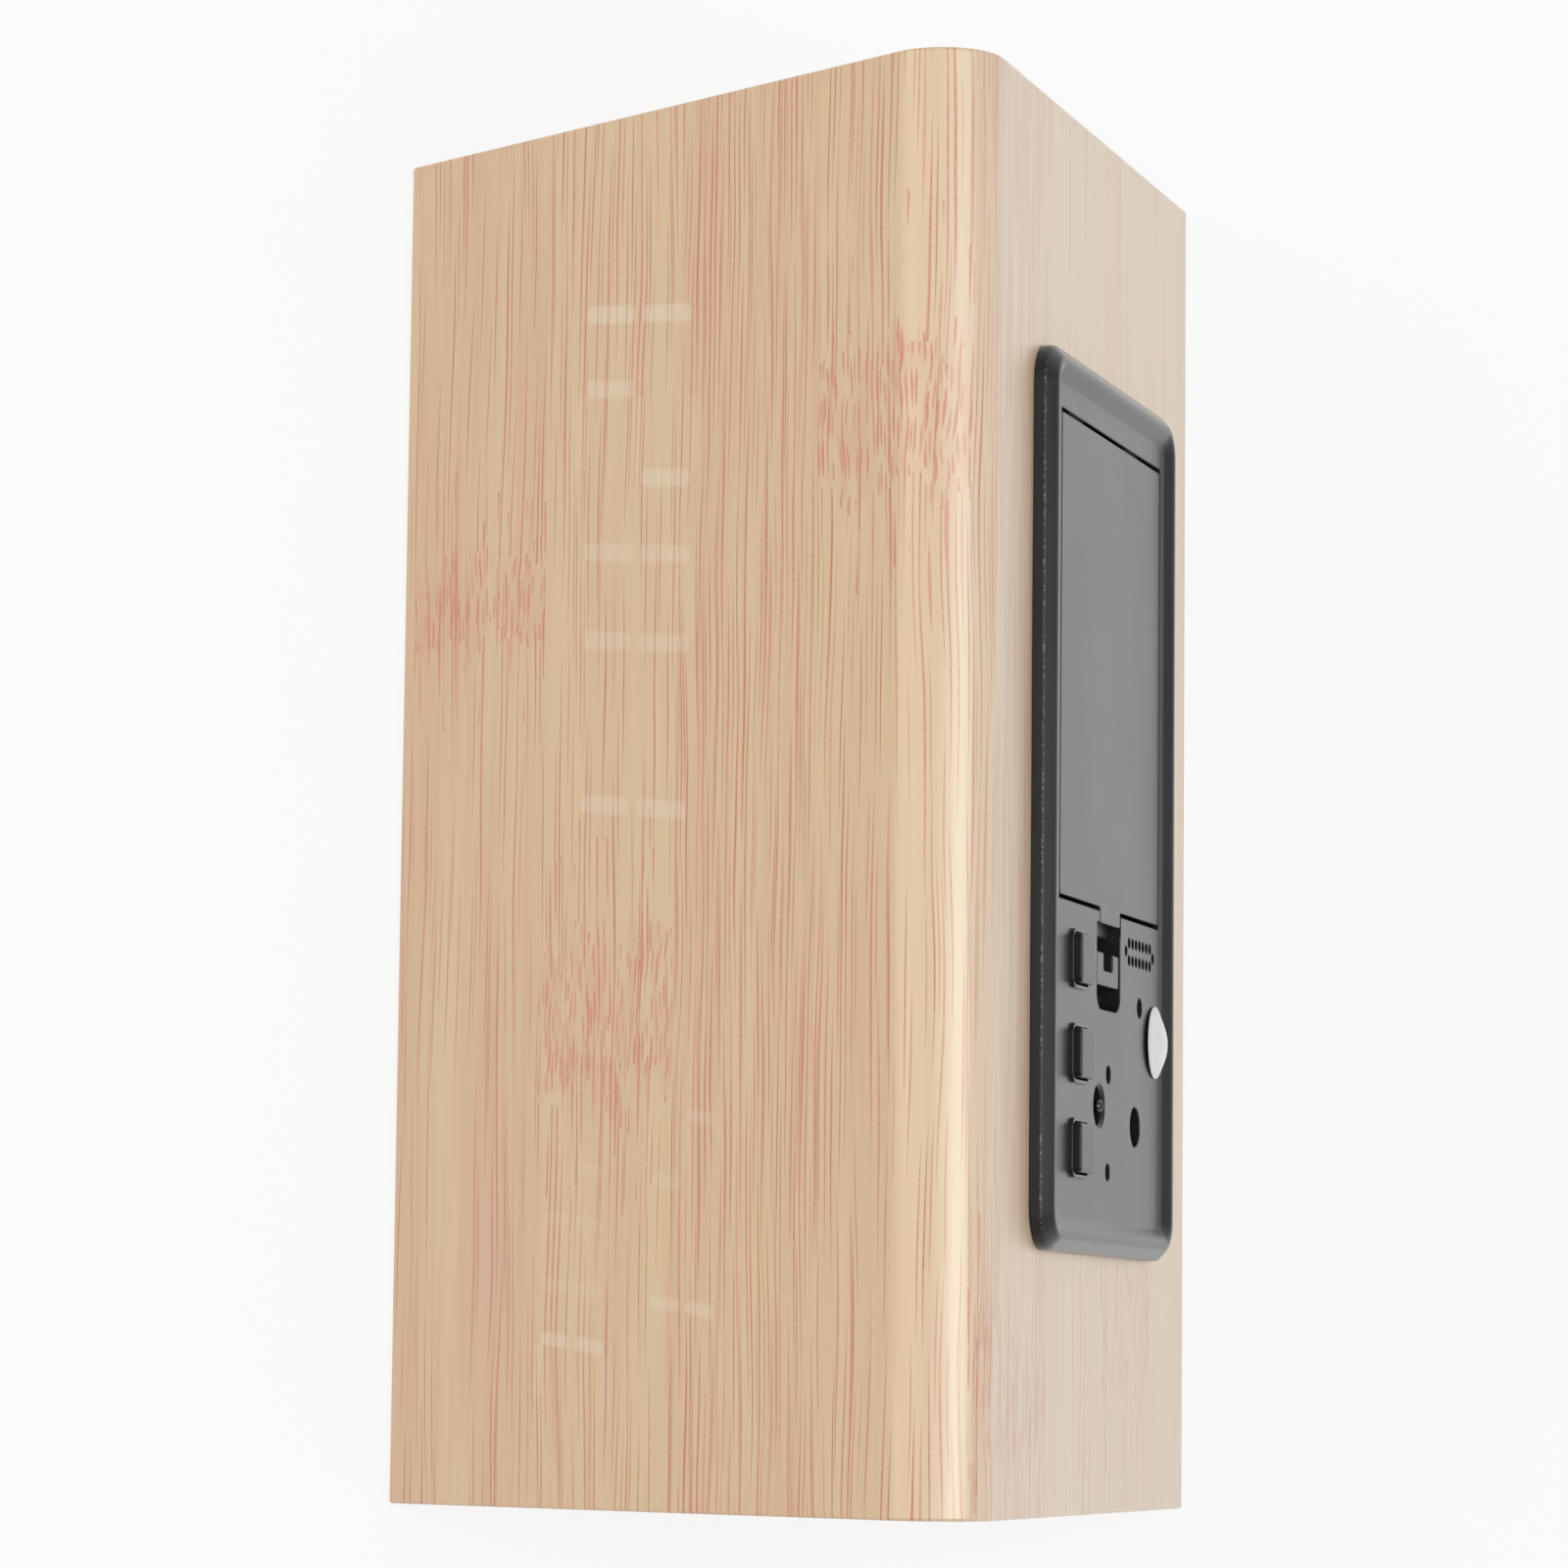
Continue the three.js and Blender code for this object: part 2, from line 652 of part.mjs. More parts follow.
// Mouth of the latch pocket: square beside the cover, rounded at the finger recess.
function pocketOutline() {
  const shape = new THREE.Shape();
  const arcX = pocketEnd - pocketCorner;
  shape.moveTo(pocketStart, pocketLow);
  shape.absarc(arcX, pocketLow + pocketCorner, pocketCorner, -Math.PI / 2, 0, false);
  shape.absarc(arcX, pocketHigh - pocketCorner, pocketCorner, 0, Math.PI / 2, false);
  shape.lineTo(pocketStart, pocketHigh);
  return shape;
}

// What is cut out of the panel.
function panelCuts() {
  const above = floorTop + collarRise + cutOverrun;
  const cells = block(
    compartmentStart,
    compartmentEnd,
    compartmentLow,
    compartmentHigh,
    compartmentBottom,
    above,
  );
  const tongueSlot = block(
    coverEnd,
    pocketStart + cutOverrun,
    tongueShift - tongueWidth / 2 - coverSideGap,
    tongueShift + tongueWidth / 2 + coverSideGap,
    coverUnder - seatGap,
    above,
  );
  const tabSlots = tabPlaces.map((y) => block(
    compartmentStart - tabReach,
    compartmentStart + cutOverrun,
    y - tabWidth / 2 - tabSideGap,
    y + tabWidth / 2 + tabSideGap,
    floorTop - tabSweepRoom,
    coverUnder + tabThickness + seatGap,
  ));
  const pocketMouth = prism(pocketOutline(), floorTop - fingerDepth, above);
  const pocketWell = block(
    pocketStart,
    catchWall,
    pocketLow,
    pocketHigh,
    floorTop - pocketDepth - cutOverrun,
    floorTop,
  );
  const catchNotch = block(
    catchWall - cutOverrun,
    catchWall + 2 * latchNibReach,
    pocketLow,
    pocketHigh,
    floorTop - latchNibDrop - latchNibHeight - seatGap,
    floorTop - latchNibDrop + seatGap,
  );
  const buttonHoles = buttonPlaces.map(({ x }) => prism(
    roundedRectangle(
      x,
      buttonRow,
      buttonLength + 2 * buttonGap,
      buttonWidth + 2 * buttonGap,
      buttonCorner + buttonGap,
    ),
    floorUnder - cutOverrun,
    above,
    1,
  ));
  const vents = ventPlaces().map(({ x, y }) => (
    rod(x, y, floorUnder - cutOverrun, above, ventRadius, ventSides)
  ));
  const tails = terminalPlaces().map((y) => block(
    compartmentEnd - cutOverrun,
    controlsStart + cutOverrun,
    y - tailWidth / 2 - seatGap,
    y + tailWidth / 2 + seatGap,
    standing - seatGap,
    standing + plateThickness + seatGap,
  ));
  const roundHoles = [
    rod(microphoneX, microphoneY, floorUnder - cutOverrun, above, microphoneHole, smallSides),
    rod(resetX, resetY, floorUnder - cutOverrun, above, resetHole, smallSides),
    rod(soundX, soundY, floorUnder - cutOverrun, above, soundHole, smallSides),
    rod(jackX, jackY, floorUnder - cutOverrun, above, jackBoreRadius),
    rod(jackX, jackY, floorTop - jackCountersink, floorTop, jackBoreRadius, roundSides, jackMouthRadius),
    rod(screwHoleX, screwHoleY, boardTop + seatGap + screwPostFloor, above, screwHoleRadius),
    rod(screwHoleX, screwHoleY, boardTop, above, screwRadius + boreGap, smallSides),
    ...boardScrewPlaces.map((y) => (
      rod(boardScrewX, y, boardTop, boardScrewTip + seatGap, screwRadius + boreGap, smallSides)
    )),
  ];
  return [
    cells, tongueSlot, ...tabSlots, pocketMouth, pocketWell, catchNotch,
    ...buttonHoles, ...vents, ...tails, ...roundHoles,
  ];
}

// Battery cover: plate, tongue, two hooking tabs, and the fixed half of the bent latch strip.
const stripCentreX = (tongueEnd + seatGap + padEnd) / 2;
const stripOuterRadius = (padEnd - tongueEnd - seatGap) / 2;
const stripCentreZ = floorTop - latchDepth + stripOuterRadius;
const stripLow = tongueShift - latchWidth / 2;
const stripHigh = tongueShift + latchWidth / 2;

function stripShape() {
  const shape = new THREE.Shape();
  const inner = stripOuterRadius - latchStrip;
  const top = coverUnder + tabThickness;
  shape.moveTo(stripCentreX - inner, top);
  shape.lineTo(stripCentreX - stripOuterRadius, top);
  shape.absarc(stripCentreX, stripCentreZ, stripOuterRadius, Math.PI, 2 * Math.PI, false);
  shape.absarc(stripCentreX, stripCentreZ, inner, 2 * Math.PI, Math.PI, true);
  return shape;
}

function coverBody() {
  const low = compartmentLow + coverSideGap;
  const high = compartmentHigh - coverSideGap;
  const middleX = (coverStart + coverEnd) / 2;
  const middleY = (low + high) / 2;
  const plate = prism(
    roundedRectangle(middleX, middleY, coverEnd - coverStart, high - low, coverCorner),
    coverUnder,
    floorTop,
    1,
  );
  const tongue = block(
    coverEnd - coverCorner,
    tongueEnd,
    tongueShift - tongueWidth / 2,
    tongueShift + tongueWidth / 2,
    coverUnder,
    floorTop,
  );
  const tabs = tabPlaces.map((y) => block(
    coverStart - tabReach,
    coverStart + coverCorner,
    y - tabWidth / 2,
    y + tabWidth / 2,
    coverUnder,
    coverUnder + tabThickness,
  ));
  const bridge = block(
    tongueEnd - coverCorner,
    tongueEnd + seatGap + latchStrip,
    stripLow,
    stripHigh,
    coverUnder,
    coverUnder + tabThickness,
  );
  const strip = acrossPanel(stripShape(), stripLow, stripHigh);
  return joinAll(solid(plate), [tongue, ...tabs, bridge, strip]);
}

// Thumb latch: the free leg of the bent strip with its U-shaped pad and its nib.
function latchBody() {
  const padTop = floorTop - latchPadDrop;
  const padUnder = padTop - latchPadThickness;
  const nibTop = floorTop - latchNibDrop;
  const leg = block(
    padEnd - latchStrip,
    padEnd,
    stripLow,
    stripHigh,
    stripCentreZ + seatGap,
    padTop - latchPadThickness / 2,
  );
  const thumbPad = block(
    padEnd - latchPadLength,
    padEnd,
    pocketShift - latchPadWidth / 2,
    pocketShift + latchPadWidth / 2,
    padUnder,
    padTop,
  );
  const nib = block(
    padEnd - latchStrip / 2,
    padEnd + latchNibReach,
    stripLow,
    stripHigh,
    nibTop - latchNibHeight,
    nibTop,
  );
  const notch = block(
    padEnd - latchPadLength - cutOverrun,
    padEnd - latchPadLength + latchNotchLength,
    latchNotchShift - latchNotchWidth / 2,
    latchNotchShift + latchNotchWidth / 2,
    padUnder - cutOverrun,
    padTop + cutOverrun,
  );
  return cutAll(joinAll(solid(leg), [thumbPad, nib]), [notch]);
}

// Button: bevelled cap, lip that keeps it in the panel, and the stem over its switch.
function buttonBody(x) {
  const capShape = roundedRectangle(
    x,
    buttonRow,
    buttonLength - 2 * buttonEdge,
    buttonWidth - 2 * buttonEdge,
    buttonCorner - buttonEdge,
  );
  const lipUnder = lipTop - buttonLip;
  const cap = bevelledPrism(capShape, lipUnder, floorTop + buttonRise, buttonEdge, buttonEdge);
  const lipSpread = 2 * (buttonGap + collarWall);
  const lip = pad(x, buttonRow, buttonLength + lipSpread, buttonWidth + lipSpread, lipUnder, lipTop);
  const stem = rod(x, buttonRow, stemEnd, lipTop, buttonStemRadius, smallSides);
  return joinAll(solid(cap), [lip, stem]);
}

// Push switch: a square body with a round well that its plunger slides in.
function switchBody(x, y, size, radius) {
  const body = solid(pad(x, y, size, size, standing, switchTop));
  const wellBottom = switchTop - switchWell;
  const well = rod(x, y, wellBottom, switchTop + cutOverrun, radius + plungerGap, smallSides);
  return cutAll(body, [well]);
}

function buildPanel() {
  addPiece(backFace, 'back_panel', geometryOf(panelBody()), blackPlastic);
  addPiece(backFace, 'battery_cover', geometryOf(coverBody()), blackPlastic);
  addPiece(backFace, 'cover_latch', geometryOf(latchBody()), blackPlastic);
  for (const { name, x } of buttonPlaces) {
    const pushSwitch = switchBody(x, buttonRow, switchSize, plungerRadius);
    const plunger = rod(x, buttonRow, switchTop - plungerSunk, plungerTop, plungerRadius, smallSides);
    addPiece(backFace, `${name}_button`, geometryOf(buttonBody(x)), blackPlastic);
    addPiece(backFace, `${name}_switch`, geometryOf(pushSwitch), blackRubber);
    addPiece(backFace, `${name}_plunger`, plunger, nickel);
  }
}

// Batteries lie side by side with their ends turned by turns; the springs press on the flat ends.
const cellPlaces = Array.from({ length: cellCount }, (unused, index) => (
  cellsShift + (index - (cellCount - 1) / 2) * cellPitch
));
function terminalPlaces() {
  return [cellPlaces[0], cellPlaces[cellCount - 1]];
}

function cellGeometry(y, facing) {
  const shoulder = cellLength - cellCapHeight;
  const profile = [
    [0, 0],
    [cellRadius - cellEdge, 0],
    [cellRadius, cellEdge],
    [cellRadius, shoulder - cellEdge],
    [cellRadius - cellEdge, shoulder],
    [cellCapRadius, shoulder],
    [cellCapRadius, cellLength],
    [0, cellLength],
  ].map(([radius, along]) => new THREE.Vector2(radius, along));
  const flatEnd = facing > 0
    ? compartmentStart + plateSpace + 2 * seatGap + springLength
    : compartmentEnd - plateSpace - 2 * seatGap - springLength;
  const cell = new THREE.LatheGeometry(profile, cellSides);
  return cell.rotateZ((-facing * Math.PI) / 2).translate(flatEnd, y, cellAxis);
}

// Conical battery spring, wide at its plate and narrow at the cell.
class ConicalHelix extends THREE.Curve {
  constructor(y, facing) {
    super();
    this.y = y;
    this.facing = facing;
  }

  getPoint(t) {
    const angle = 2 * Math.PI * springCurls * t;
    const radius = THREE.MathUtils.lerp(springWideRadius, springNarrowRadius, t);
    const along = seatGap + springWire / 2 + t * (springLength - springWire);
    const plateFace = this.facing > 0 ? compartmentStart + plateSpace : compartmentEnd - plateSpace;
    return new THREE.Vector3(
      plateFace + this.facing * along,
      this.y + radius * Math.cos(angle),
      cellAxis + radius * Math.sin(angle),
    );
  }
}

// Least clear distance between neighbouring curls of a spring.
function leastCurlGap(helix) {
  const points = helix.getPoints(springCurls * curlSteps);
  let least = Infinity;
  points.forEach((point, index) => {
    for (let other = index + Math.ceil(curlSteps / 2); other < points.length; other += 1) {
      least = Math.min(least, point.distanceTo(points[other]) - springWire);
    }
  });
  return least;
}

function springGeometry(helix) {
  const section = new THREE.Shape();
  for (let side = 0; side < wireSides; side += 1) {
    const angle = (2 * Math.PI * side) / wireSides;
    const place = [(springWire / 2) * Math.cos(angle), (springWire / 2) * Math.sin(angle)];
    if (side === 0) section.moveTo(...place);
    else section.lineTo(...place);
  }
  const options = { steps: springCurls * curlSteps, extrudePath: helix, bevelEnabled: false };
  return new THREE.ExtrudeGeometry(section, options);
}

// Contact plate behind one cell or two neighbours, at the start (-1) or the end (1) of the row.
function plateGeometry(first, last, end) {
  const wallFace = end < 0 ? compartmentStart : compartmentEnd;
  const near = wallFace - end * seatGap;
  const far = near - end * plateThickness;
  const reach = cellRadius - plateMargin;
  return block(
    Math.min(near, far),
    Math.max(near, far),
    cellPlaces[first] - reach,
    cellPlaces[last] + reach,
    cellAxis - plateHeight / 2,
    cellAxis + plateHeight / 2,
  );
}

// Terminal: a contact plate with a tail through the wall onto the main board.
function terminalBody(index) {
  const y = cellPlaces[index];
  const tail = block(
    compartmentEnd - seatGap - plateThickness,
    boardStart + tailReach,
    y - tailWidth / 2,
    y + tailWidth / 2,
    standing,
    standing + plateThickness,
  );
  return joinAll(solid(plateGeometry(index, index, 1)), [tail]);
}

function buildBatteries() {
  cellPlaces.forEach((y, index) => {
    const facing = index % 2 === 0 ? 1 : -1;
    const helix = new ConicalHelix(y, facing);
    addPiece(backFace, `battery_${index + 1}`, cellGeometry(y, facing), cellJacket);
    addPiece(backFace, `battery_spring_${index + 1}`, springGeometry(helix), nickel);
    const leastGap = leastCurlGap(helix).toFixed(2);
    console.log(`battery spring ${index + 1}: least gap between curls ${leastGap} mm`);
  });
  addPiece(backFace, 'contact_positive', geometryOf(terminalBody(0)), nickel);
  addPiece(backFace, 'contact_negative', geometryOf(terminalBody(cellCount - 1)), nickel);
  addPiece(backFace, 'contact_bridge_1', plateGeometry(0, 1, -1), nickel);
  addPiece(backFace, 'contact_bridge_2', plateGeometry(1, 2, 1), nickel);
  addPiece(backFace, 'contact_bridge_3', plateGeometry(2, 3, -1), nickel);
}

// Screw along z: pan head, then the shank toward the tip. turn is 1 when the tip points out.
function screwGeometry(x, y, seat, length, turn) {
  const profile = [
    [0, -screwHeadHeight],
    [screwHeadRadius * screwHeadTaper, -screwHeadHeight],
    [screwHeadRadius, -screwHeadHeight / 2],
    [screwHeadRadius, 0],
    [screwRadius, 0],
    [screwRadius, length - screwRadius],
    [0, length],
  ].map(([radius, along]) => new THREE.Vector2(radius, along));
  const screw = new THREE.LatheGeometry(profile, smallSides);
  return screw.rotateX((turn * Math.PI) / 2).translate(x, y, seat);
}

// Main board with its holes, and everything that stands on it.
const boardScrewSeat = boardUnder - seatGap;
const boardScrewTip = boardScrewSeat + boardScrewLength;
const panelScrewSeat = boardTop + 2 * seatGap + screwPostFloor;

function buildMainBoard() {
  const boardMiddle = (boardStart + boardEnd) / 2;
  const plate = solid(pad(boardMiddle, 0, boardEnd - boardStart, boardWidth, boardUnder, boardTop));
  const holeBottom = boardUnder - cutOverrun;
  const holeTop = boardTop + cutOverrun;
  const holeAt = (x, y) => rod(x, y, holeBottom, holeTop, screwRadius + boreGap, smallSides);
  const holes = [holeAt(screwHoleX, screwHoleY), ...boardScrewPlaces.map((y) => holeAt(boardScrewX, y))];
  addPiece(backFace, 'main_board', geometryOf(cutAll(plate, holes)), circuitGreen);
  boardScrewPlaces.forEach((y, index) => {
    const screw = screwGeometry(boardScrewX, y, boardScrewSeat, boardScrewLength, 1);
    addPiece(backFace, `board_screw_${index + 1}`, screw, steel);
  });
  const panelScrew = screwGeometry(screwHoleX, screwHoleY, panelScrewSeat, panelScrewLength, -1);
  addPiece(backFace, 'panel_screw', panelScrew, steel);

  const partTop = floorUnder - seatGap;
  const barrel = solid(rod(jackX, jackY, standing, partTop, jackBoreRadius + jackWall));
  const boreBottom = standing + jackBoreFloor;
  const bore = rod(jackX, jackY, boreBottom, partTop + cutOverrun, jackBoreRadius);
  addPiece(backFace, 'dc_jack', geometryOf(cutAll(barrel, [bore])), blackRubber);
  const tipCentre = floorTop + jackPinProud - jackPinRadius;
  const pin = solid(rod(jackX, jackY, boreBottom + seatGap, tipCentre, jackPinRadius, smallSides));
  const pinTip = new THREE.SphereGeometry(jackPinRadius, smallSides, smallSides / 2);
  pinTip.rotateX(Math.PI / 2).translate(jackX, jackY, tipCentre);
  addPiece(backFace, 'dc_jack_pin', geometryOf(joinAll(pin, [pinTip])), nickel);

  const microphone = rod(microphoneX, microphoneY, standing, partTop, microphoneRadius);
  addPiece(backFace, 'microphone', microphone, steel);
  const buzzerTop = partTop - buzzerClearance;
  const buzzerMiddle = (standing + buzzerTop) / 2;
  const buzzer = solid(rod(soundX, soundY, standing, buzzerTop, buzzerRadius));
  const soundBore = rod(soundX, soundY, buzzerMiddle, buzzerTop + cutOverrun, soundHole, smallSides);
  addPiece(backFace, 'buzzer', geometryOf(cutAll(buzzer, [soundBore])), blackRubber);
  const sensorTop = standing + sensorHeight;
  const sensor = pad(ventX, ventY + sensorShift, sensorLength, sensorWidth, standing, sensorTop);
  addPiece(backFace, 'humidity_sensor', sensor, whitePlastic);

  const resetBody = switchBody(resetX, resetY, resetSize, resetPlungerRadius);
  addPiece(backFace, 'reset_switch', geometryOf(resetBody), blackRubber);
  const resetTop = floorUnder - resetPlungerDrop;
  const resetBottom = switchTop - plungerSunk;
  const resetPlunger = rod(resetX, resetY, resetBottom, resetTop, resetPlungerRadius, smallSides);
  addPiece(backFace, 'reset_plunger', resetPlunger, whitePlastic);

  const chipTop = boardUnder - seatGap;
  const chipShape = roundedRectangle(
    chipX,
    chipY,
    chipLength - 2 * chipBevel,
    chipWidth - 2 * chipBevel,
    chipBevel,
  );
  const chip = bevelledPrism(chipShape, chipTop - chipHeight, chipTop, chipBevel, chipBevel);
  addPiece(backFace, 'clock_chip', chip, blackRubber);
  const crystal = new THREE.CylinderGeometry(crystalRadius, crystalRadius, crystalLength, smallSides);
  crystal.rotateZ(Math.PI / 2).translate(crystalX, crystalY, boardUnder - seatGap - crystalRadius);
  addPiece(backFace, 'quartz_crystal', crystal, nickel);
}

// Display levels, out of the front face
const diffuserTop = -filmThickness - seatGap;
const blockTop = diffuserTop - diffuserThickness - seatGap;
const flangeTop = -wallThickness - seatGap;
const flangeUnder = flangeTop - blockFlange;
const displayTop = flangeUnder - seatGap;
const displayUnder = displayTop - boardThickness;
const displayScrewSeat = displayUnder - seatGap;
const displayScrewTip = displayScrewSeat + displayScrewLength;
function displayScrewPlaces() {
  const y = (windowHeight + blockEarReach) / 2;
  const ends = [windowStart + displayScrewInset, windowEnd - displayScrewInset];
  return ends.flatMap((x) => [{ x, y: -y }, { x, y }]);
}

// Outline through points that lean with the digits.
function leaningShape(points) {
  return new THREE.Shape(points.map(([x, y]) => new THREE.Vector2(x + displaySlant * y, y)));
}

// One light segment: a bar with pointed ends about its middle.
function segmentShape(x, y, length, stroke, upright) {
  const tip = length / 2;
  const neck = (length - stroke) / 2;
  const half = stroke / 2;
  const outline = [[-tip, 0], [-neck, -half], [neck, -half], [tip, 0], [neck, half], [-neck, half]];
  return leaningShape(outline.map(([along, across]) => (
    upright ? [x - across, y + along] : [x + along, y + across]
  )));
}

// The seven segments of a digit: place in half widths and half heights, and whether upright.
const segmentPlan = [
  [0, 1, false],
  [1, 0.5, true],
  [1, -0.5, true],
  [0, -1, false],
  [-1, -0.5, true],
  [-1, 0.5, true],
  [0, 0, false],
];
const letterPlan = segmentPlan.filter(([x, y]) => x < 0 || Math.abs(y) === 1);

function digitSegments(plan, x, y, width, height, stroke) {
  const spacing = stroke / 4;
  return plan.map(([across, up, upright]) => {
    const length = (upright ? height / 2 : width) - spacing;
    return segmentShape(x + (across * width) / 2, y + (up * height) / 2, length, stroke, upright);
  });
}

function dotShape(x, y) {
  const half = dotSize / 2;
  const corners = [[-half, -half], [half, -half], [half, half], [-half, half]];
  return leaningShape(corners.map(([across, up]) => [x + across, y + up]));
}

// Percent sign: a slash between two dots.
function percentShapes(x, y) {
  const run = signWidth / 2;
  const rise = smallHeight / 2;
  const half = smallStroke / 2;
  const slash = [[-run - half, -rise], [-run + half, -rise], [run + half, rise], [run - half, rise]];
  return [
    leaningShape(slash.map(([across, up]) => [x + across, y + up])),
    dotShape(x - run, y + rise - dotSize),
    dotShape(x + run, y - rise + dotSize),
  ];
}

function lightWells() {
  const wells = [];
  for (let digit = 0; digit < timeDigits; digit += 1) {
    const x = timeFirst + digit * timePitch;
    wells.push(...digitSegments(segmentPlan, x, timeRow, timeWidth, timeHeight, timeStroke));
  }
  const colonX = timeFirst + ((timeDigits - 1) / 2) * timePitch;
  wells.push(dotShape(colonX, timeRow - colonSpread / 2), dotShape(colonX, timeRow + colonSpread / 2));
  const [humidityRow, temperatureRow] = smallRows;
  for (const row of smallRows) {
    for (let digit = 0; digit < smallDigits; digit += 1) {
      const x = smallFirst + digit * smallPitch;
      wells.push(...digitSegments(segmentPlan, x, row, smallWidth, smallHeight, smallStroke));
    }
  }
  wells.push(...percentShapes(signX, humidityRow), dotShape(degreeX, degreeY));
  wells.push(...digitSegments(letterPlan, signX, temperatureRow, signWidth, smallHeight, smallStroke));
  return wells;
}

function middleOf(shape) {
  const box = new THREE.Box2().setFromPoints(shape.getPoints());
  return box.getCenter(new THREE.Vector2());
}

function buildDisplay() {
  const wells = lightWells();
  const middle = (windowStart + windowEnd) / 2;
  const flangeLength = windowLength + 2 * blockFlangeReach;
  const flangeHeight = windowHeight + 2 * blockEarReach;
  const insideLength = windowLength - 2 * seatGap;
  const insideHeight = windowHeight - 2 * seatGap;

  const diffuser = pad(middle, 0, insideLength, insideHeight, diffuserTop - diffuserThickness, diffuserTop);
  addPiece(frontFace, 'light_diffuser', diffuser, milkyPlastic);

  const overlap = blockFlange / 2;
  const body = pad(middle, 0, insideLength, insideHeight, flangeTop - overlap, blockTop);
  const flange = pad(middle, 0, flangeLength, flangeHeight, flangeUnder, flangeTop);
  const wellCuts = wells.map((well) => prism(well, flangeUnder - cutOverrun, blockTop + cutOverrun));
  const screwHoles = displayScrewPlaces().map(({ x, y }) => (
    rod(x, y, displayUnder - cutOverrun, flangeTop + cutOverrun, screwRadius + boreGap, smallSides)
  ));
  const digitBlock = cutAll(joinAll(solid(body), [flange]), [...wellCuts, ...screwHoles]);
  addPiece(frontFace, 'digit_block', geometryOf(digitBlock), whitePlastic);

  const plate = pad(middle, 0, flangeLength, flangeHeight, displayUnder, displayTop);
  const chipRoot = displayTop - boardThickness / 2;
  const chipTop = displayTop + chipLightHeight;
  const chips = wells.map((well) => {
    const place = middleOf(well);
    return pad(place.x, place.y, chipLightSize, chipLightSize, chipRoot, chipTop);
  });
  const displayBoard = cutAll(joinAll(solid(plate), chips), screwHoles);
  addPiece(frontFace, 'display_board', geometryOf(displayBoard), circuitGreen);

  displayScrewPlaces().forEach(({ x, y }, index) => {
    const screw = screwGeometry(x, y, displayScrewSeat, displayScrewLength, 1);
    addPiece(frontFace, `display_screw_${index + 1}`, screw, steel);
  });
}

// Ribbon cable between the backs of the two boards, drawn in (y, z) with square ends on the boards.
function ribbonEnd(group, level) {
  const place = new THREE.Vector3(0, 0, level).applyMatrix4(group.matrix);
  const inward = new THREE.Vector3(0, 0, -1).transformDirection(group.matrix);
  return { place, inward };
}

function buildRibbon() {
  const start = ribbonEnd(frontFace, displayUnder - seatGap);
  const end = ribbonEnd(backFace, boardUnder - seatGap);
  const half = ribbonThickness / 2;
  const edge = ({ place, inward }, along, side) => [
    place.y + along * inward.y - side * half * inward.z,
    place.z + along * inward.z + side * half * inward.y,
  ];
  const shape = new THREE.Shape();
  shape.moveTo(...edge(start, 0, 1));
  shape.bezierCurveTo(...edge(start, ribbonReach, 1), ...edge(end, ribbonReach, -1), ...edge(end, 0, -1));
  shape.lineTo(...edge(end, 0, 1));
  shape.bezierCurveTo(...edge(end, ribbonReach, 1), ...edge(start, ribbonReach, -1), ...edge(start, 0, -1));
  const ribbon = alongClock(shape, ribbonX - ribbonWidth / 2, ribbonX + ribbonWidth / 2);
  addPiece(clock, 'ribbon_cable', ribbon, greyRibbon);
}

buildCase();
buildPanel();
buildBatteries();
buildMainBoard();
buildDisplay();
buildRibbon();

export default clock;
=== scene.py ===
# %% [markdown]
# # A bamboo-look alarm clock
# The clock is a triangular bar that lies on one of its sides. A printed bamboo film is wrapped over the
# front, the rounded ridge and the back. Digits shine through the film on the front. The back carries a
# black moulded panel with a battery cover, a thumb latch, three buttons and a power inlet.
# The solid model comes in first as a fixed frame, and every finer piece is built to its measures.

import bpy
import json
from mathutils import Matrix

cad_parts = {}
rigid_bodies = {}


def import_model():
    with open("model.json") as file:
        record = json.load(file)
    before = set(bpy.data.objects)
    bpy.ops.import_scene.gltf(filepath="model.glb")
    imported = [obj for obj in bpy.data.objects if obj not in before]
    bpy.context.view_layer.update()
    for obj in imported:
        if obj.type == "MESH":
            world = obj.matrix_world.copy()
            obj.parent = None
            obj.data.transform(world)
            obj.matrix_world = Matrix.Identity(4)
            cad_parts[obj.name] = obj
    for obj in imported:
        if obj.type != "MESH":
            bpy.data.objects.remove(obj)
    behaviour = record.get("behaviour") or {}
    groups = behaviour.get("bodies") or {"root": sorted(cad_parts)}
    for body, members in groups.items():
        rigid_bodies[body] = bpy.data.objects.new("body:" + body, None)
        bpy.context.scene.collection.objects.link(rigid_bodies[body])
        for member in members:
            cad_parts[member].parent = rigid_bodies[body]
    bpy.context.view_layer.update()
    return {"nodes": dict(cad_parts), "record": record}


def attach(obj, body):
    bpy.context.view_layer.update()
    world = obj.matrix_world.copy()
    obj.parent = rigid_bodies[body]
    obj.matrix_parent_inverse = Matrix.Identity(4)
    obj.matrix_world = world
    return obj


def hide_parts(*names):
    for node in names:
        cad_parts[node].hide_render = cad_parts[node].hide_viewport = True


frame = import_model()
print("nodes in the frame:", len(frame["nodes"]))

# %% Tools and units
import json
from math import atan2, cos, degrees, pi, radians, sin

import bmesh
import bpy
from bmesh.types import BMFace, BMVert
from mathutils import Matrix, Vector

scene = bpy.context.scene
scene.view_settings.view_transform = "Standard"
MM = 0.001
print("pieces are modelled in millimetres and scaled by", MM)

# %% [markdown]
# ## Camera
# The photograph looks down on the clock, with the ridge running up the picture. The camera comes first,
# because every later choice is judged through it. A long lens from far away keeps the edges almost
# parallel, as they are in the photograph.

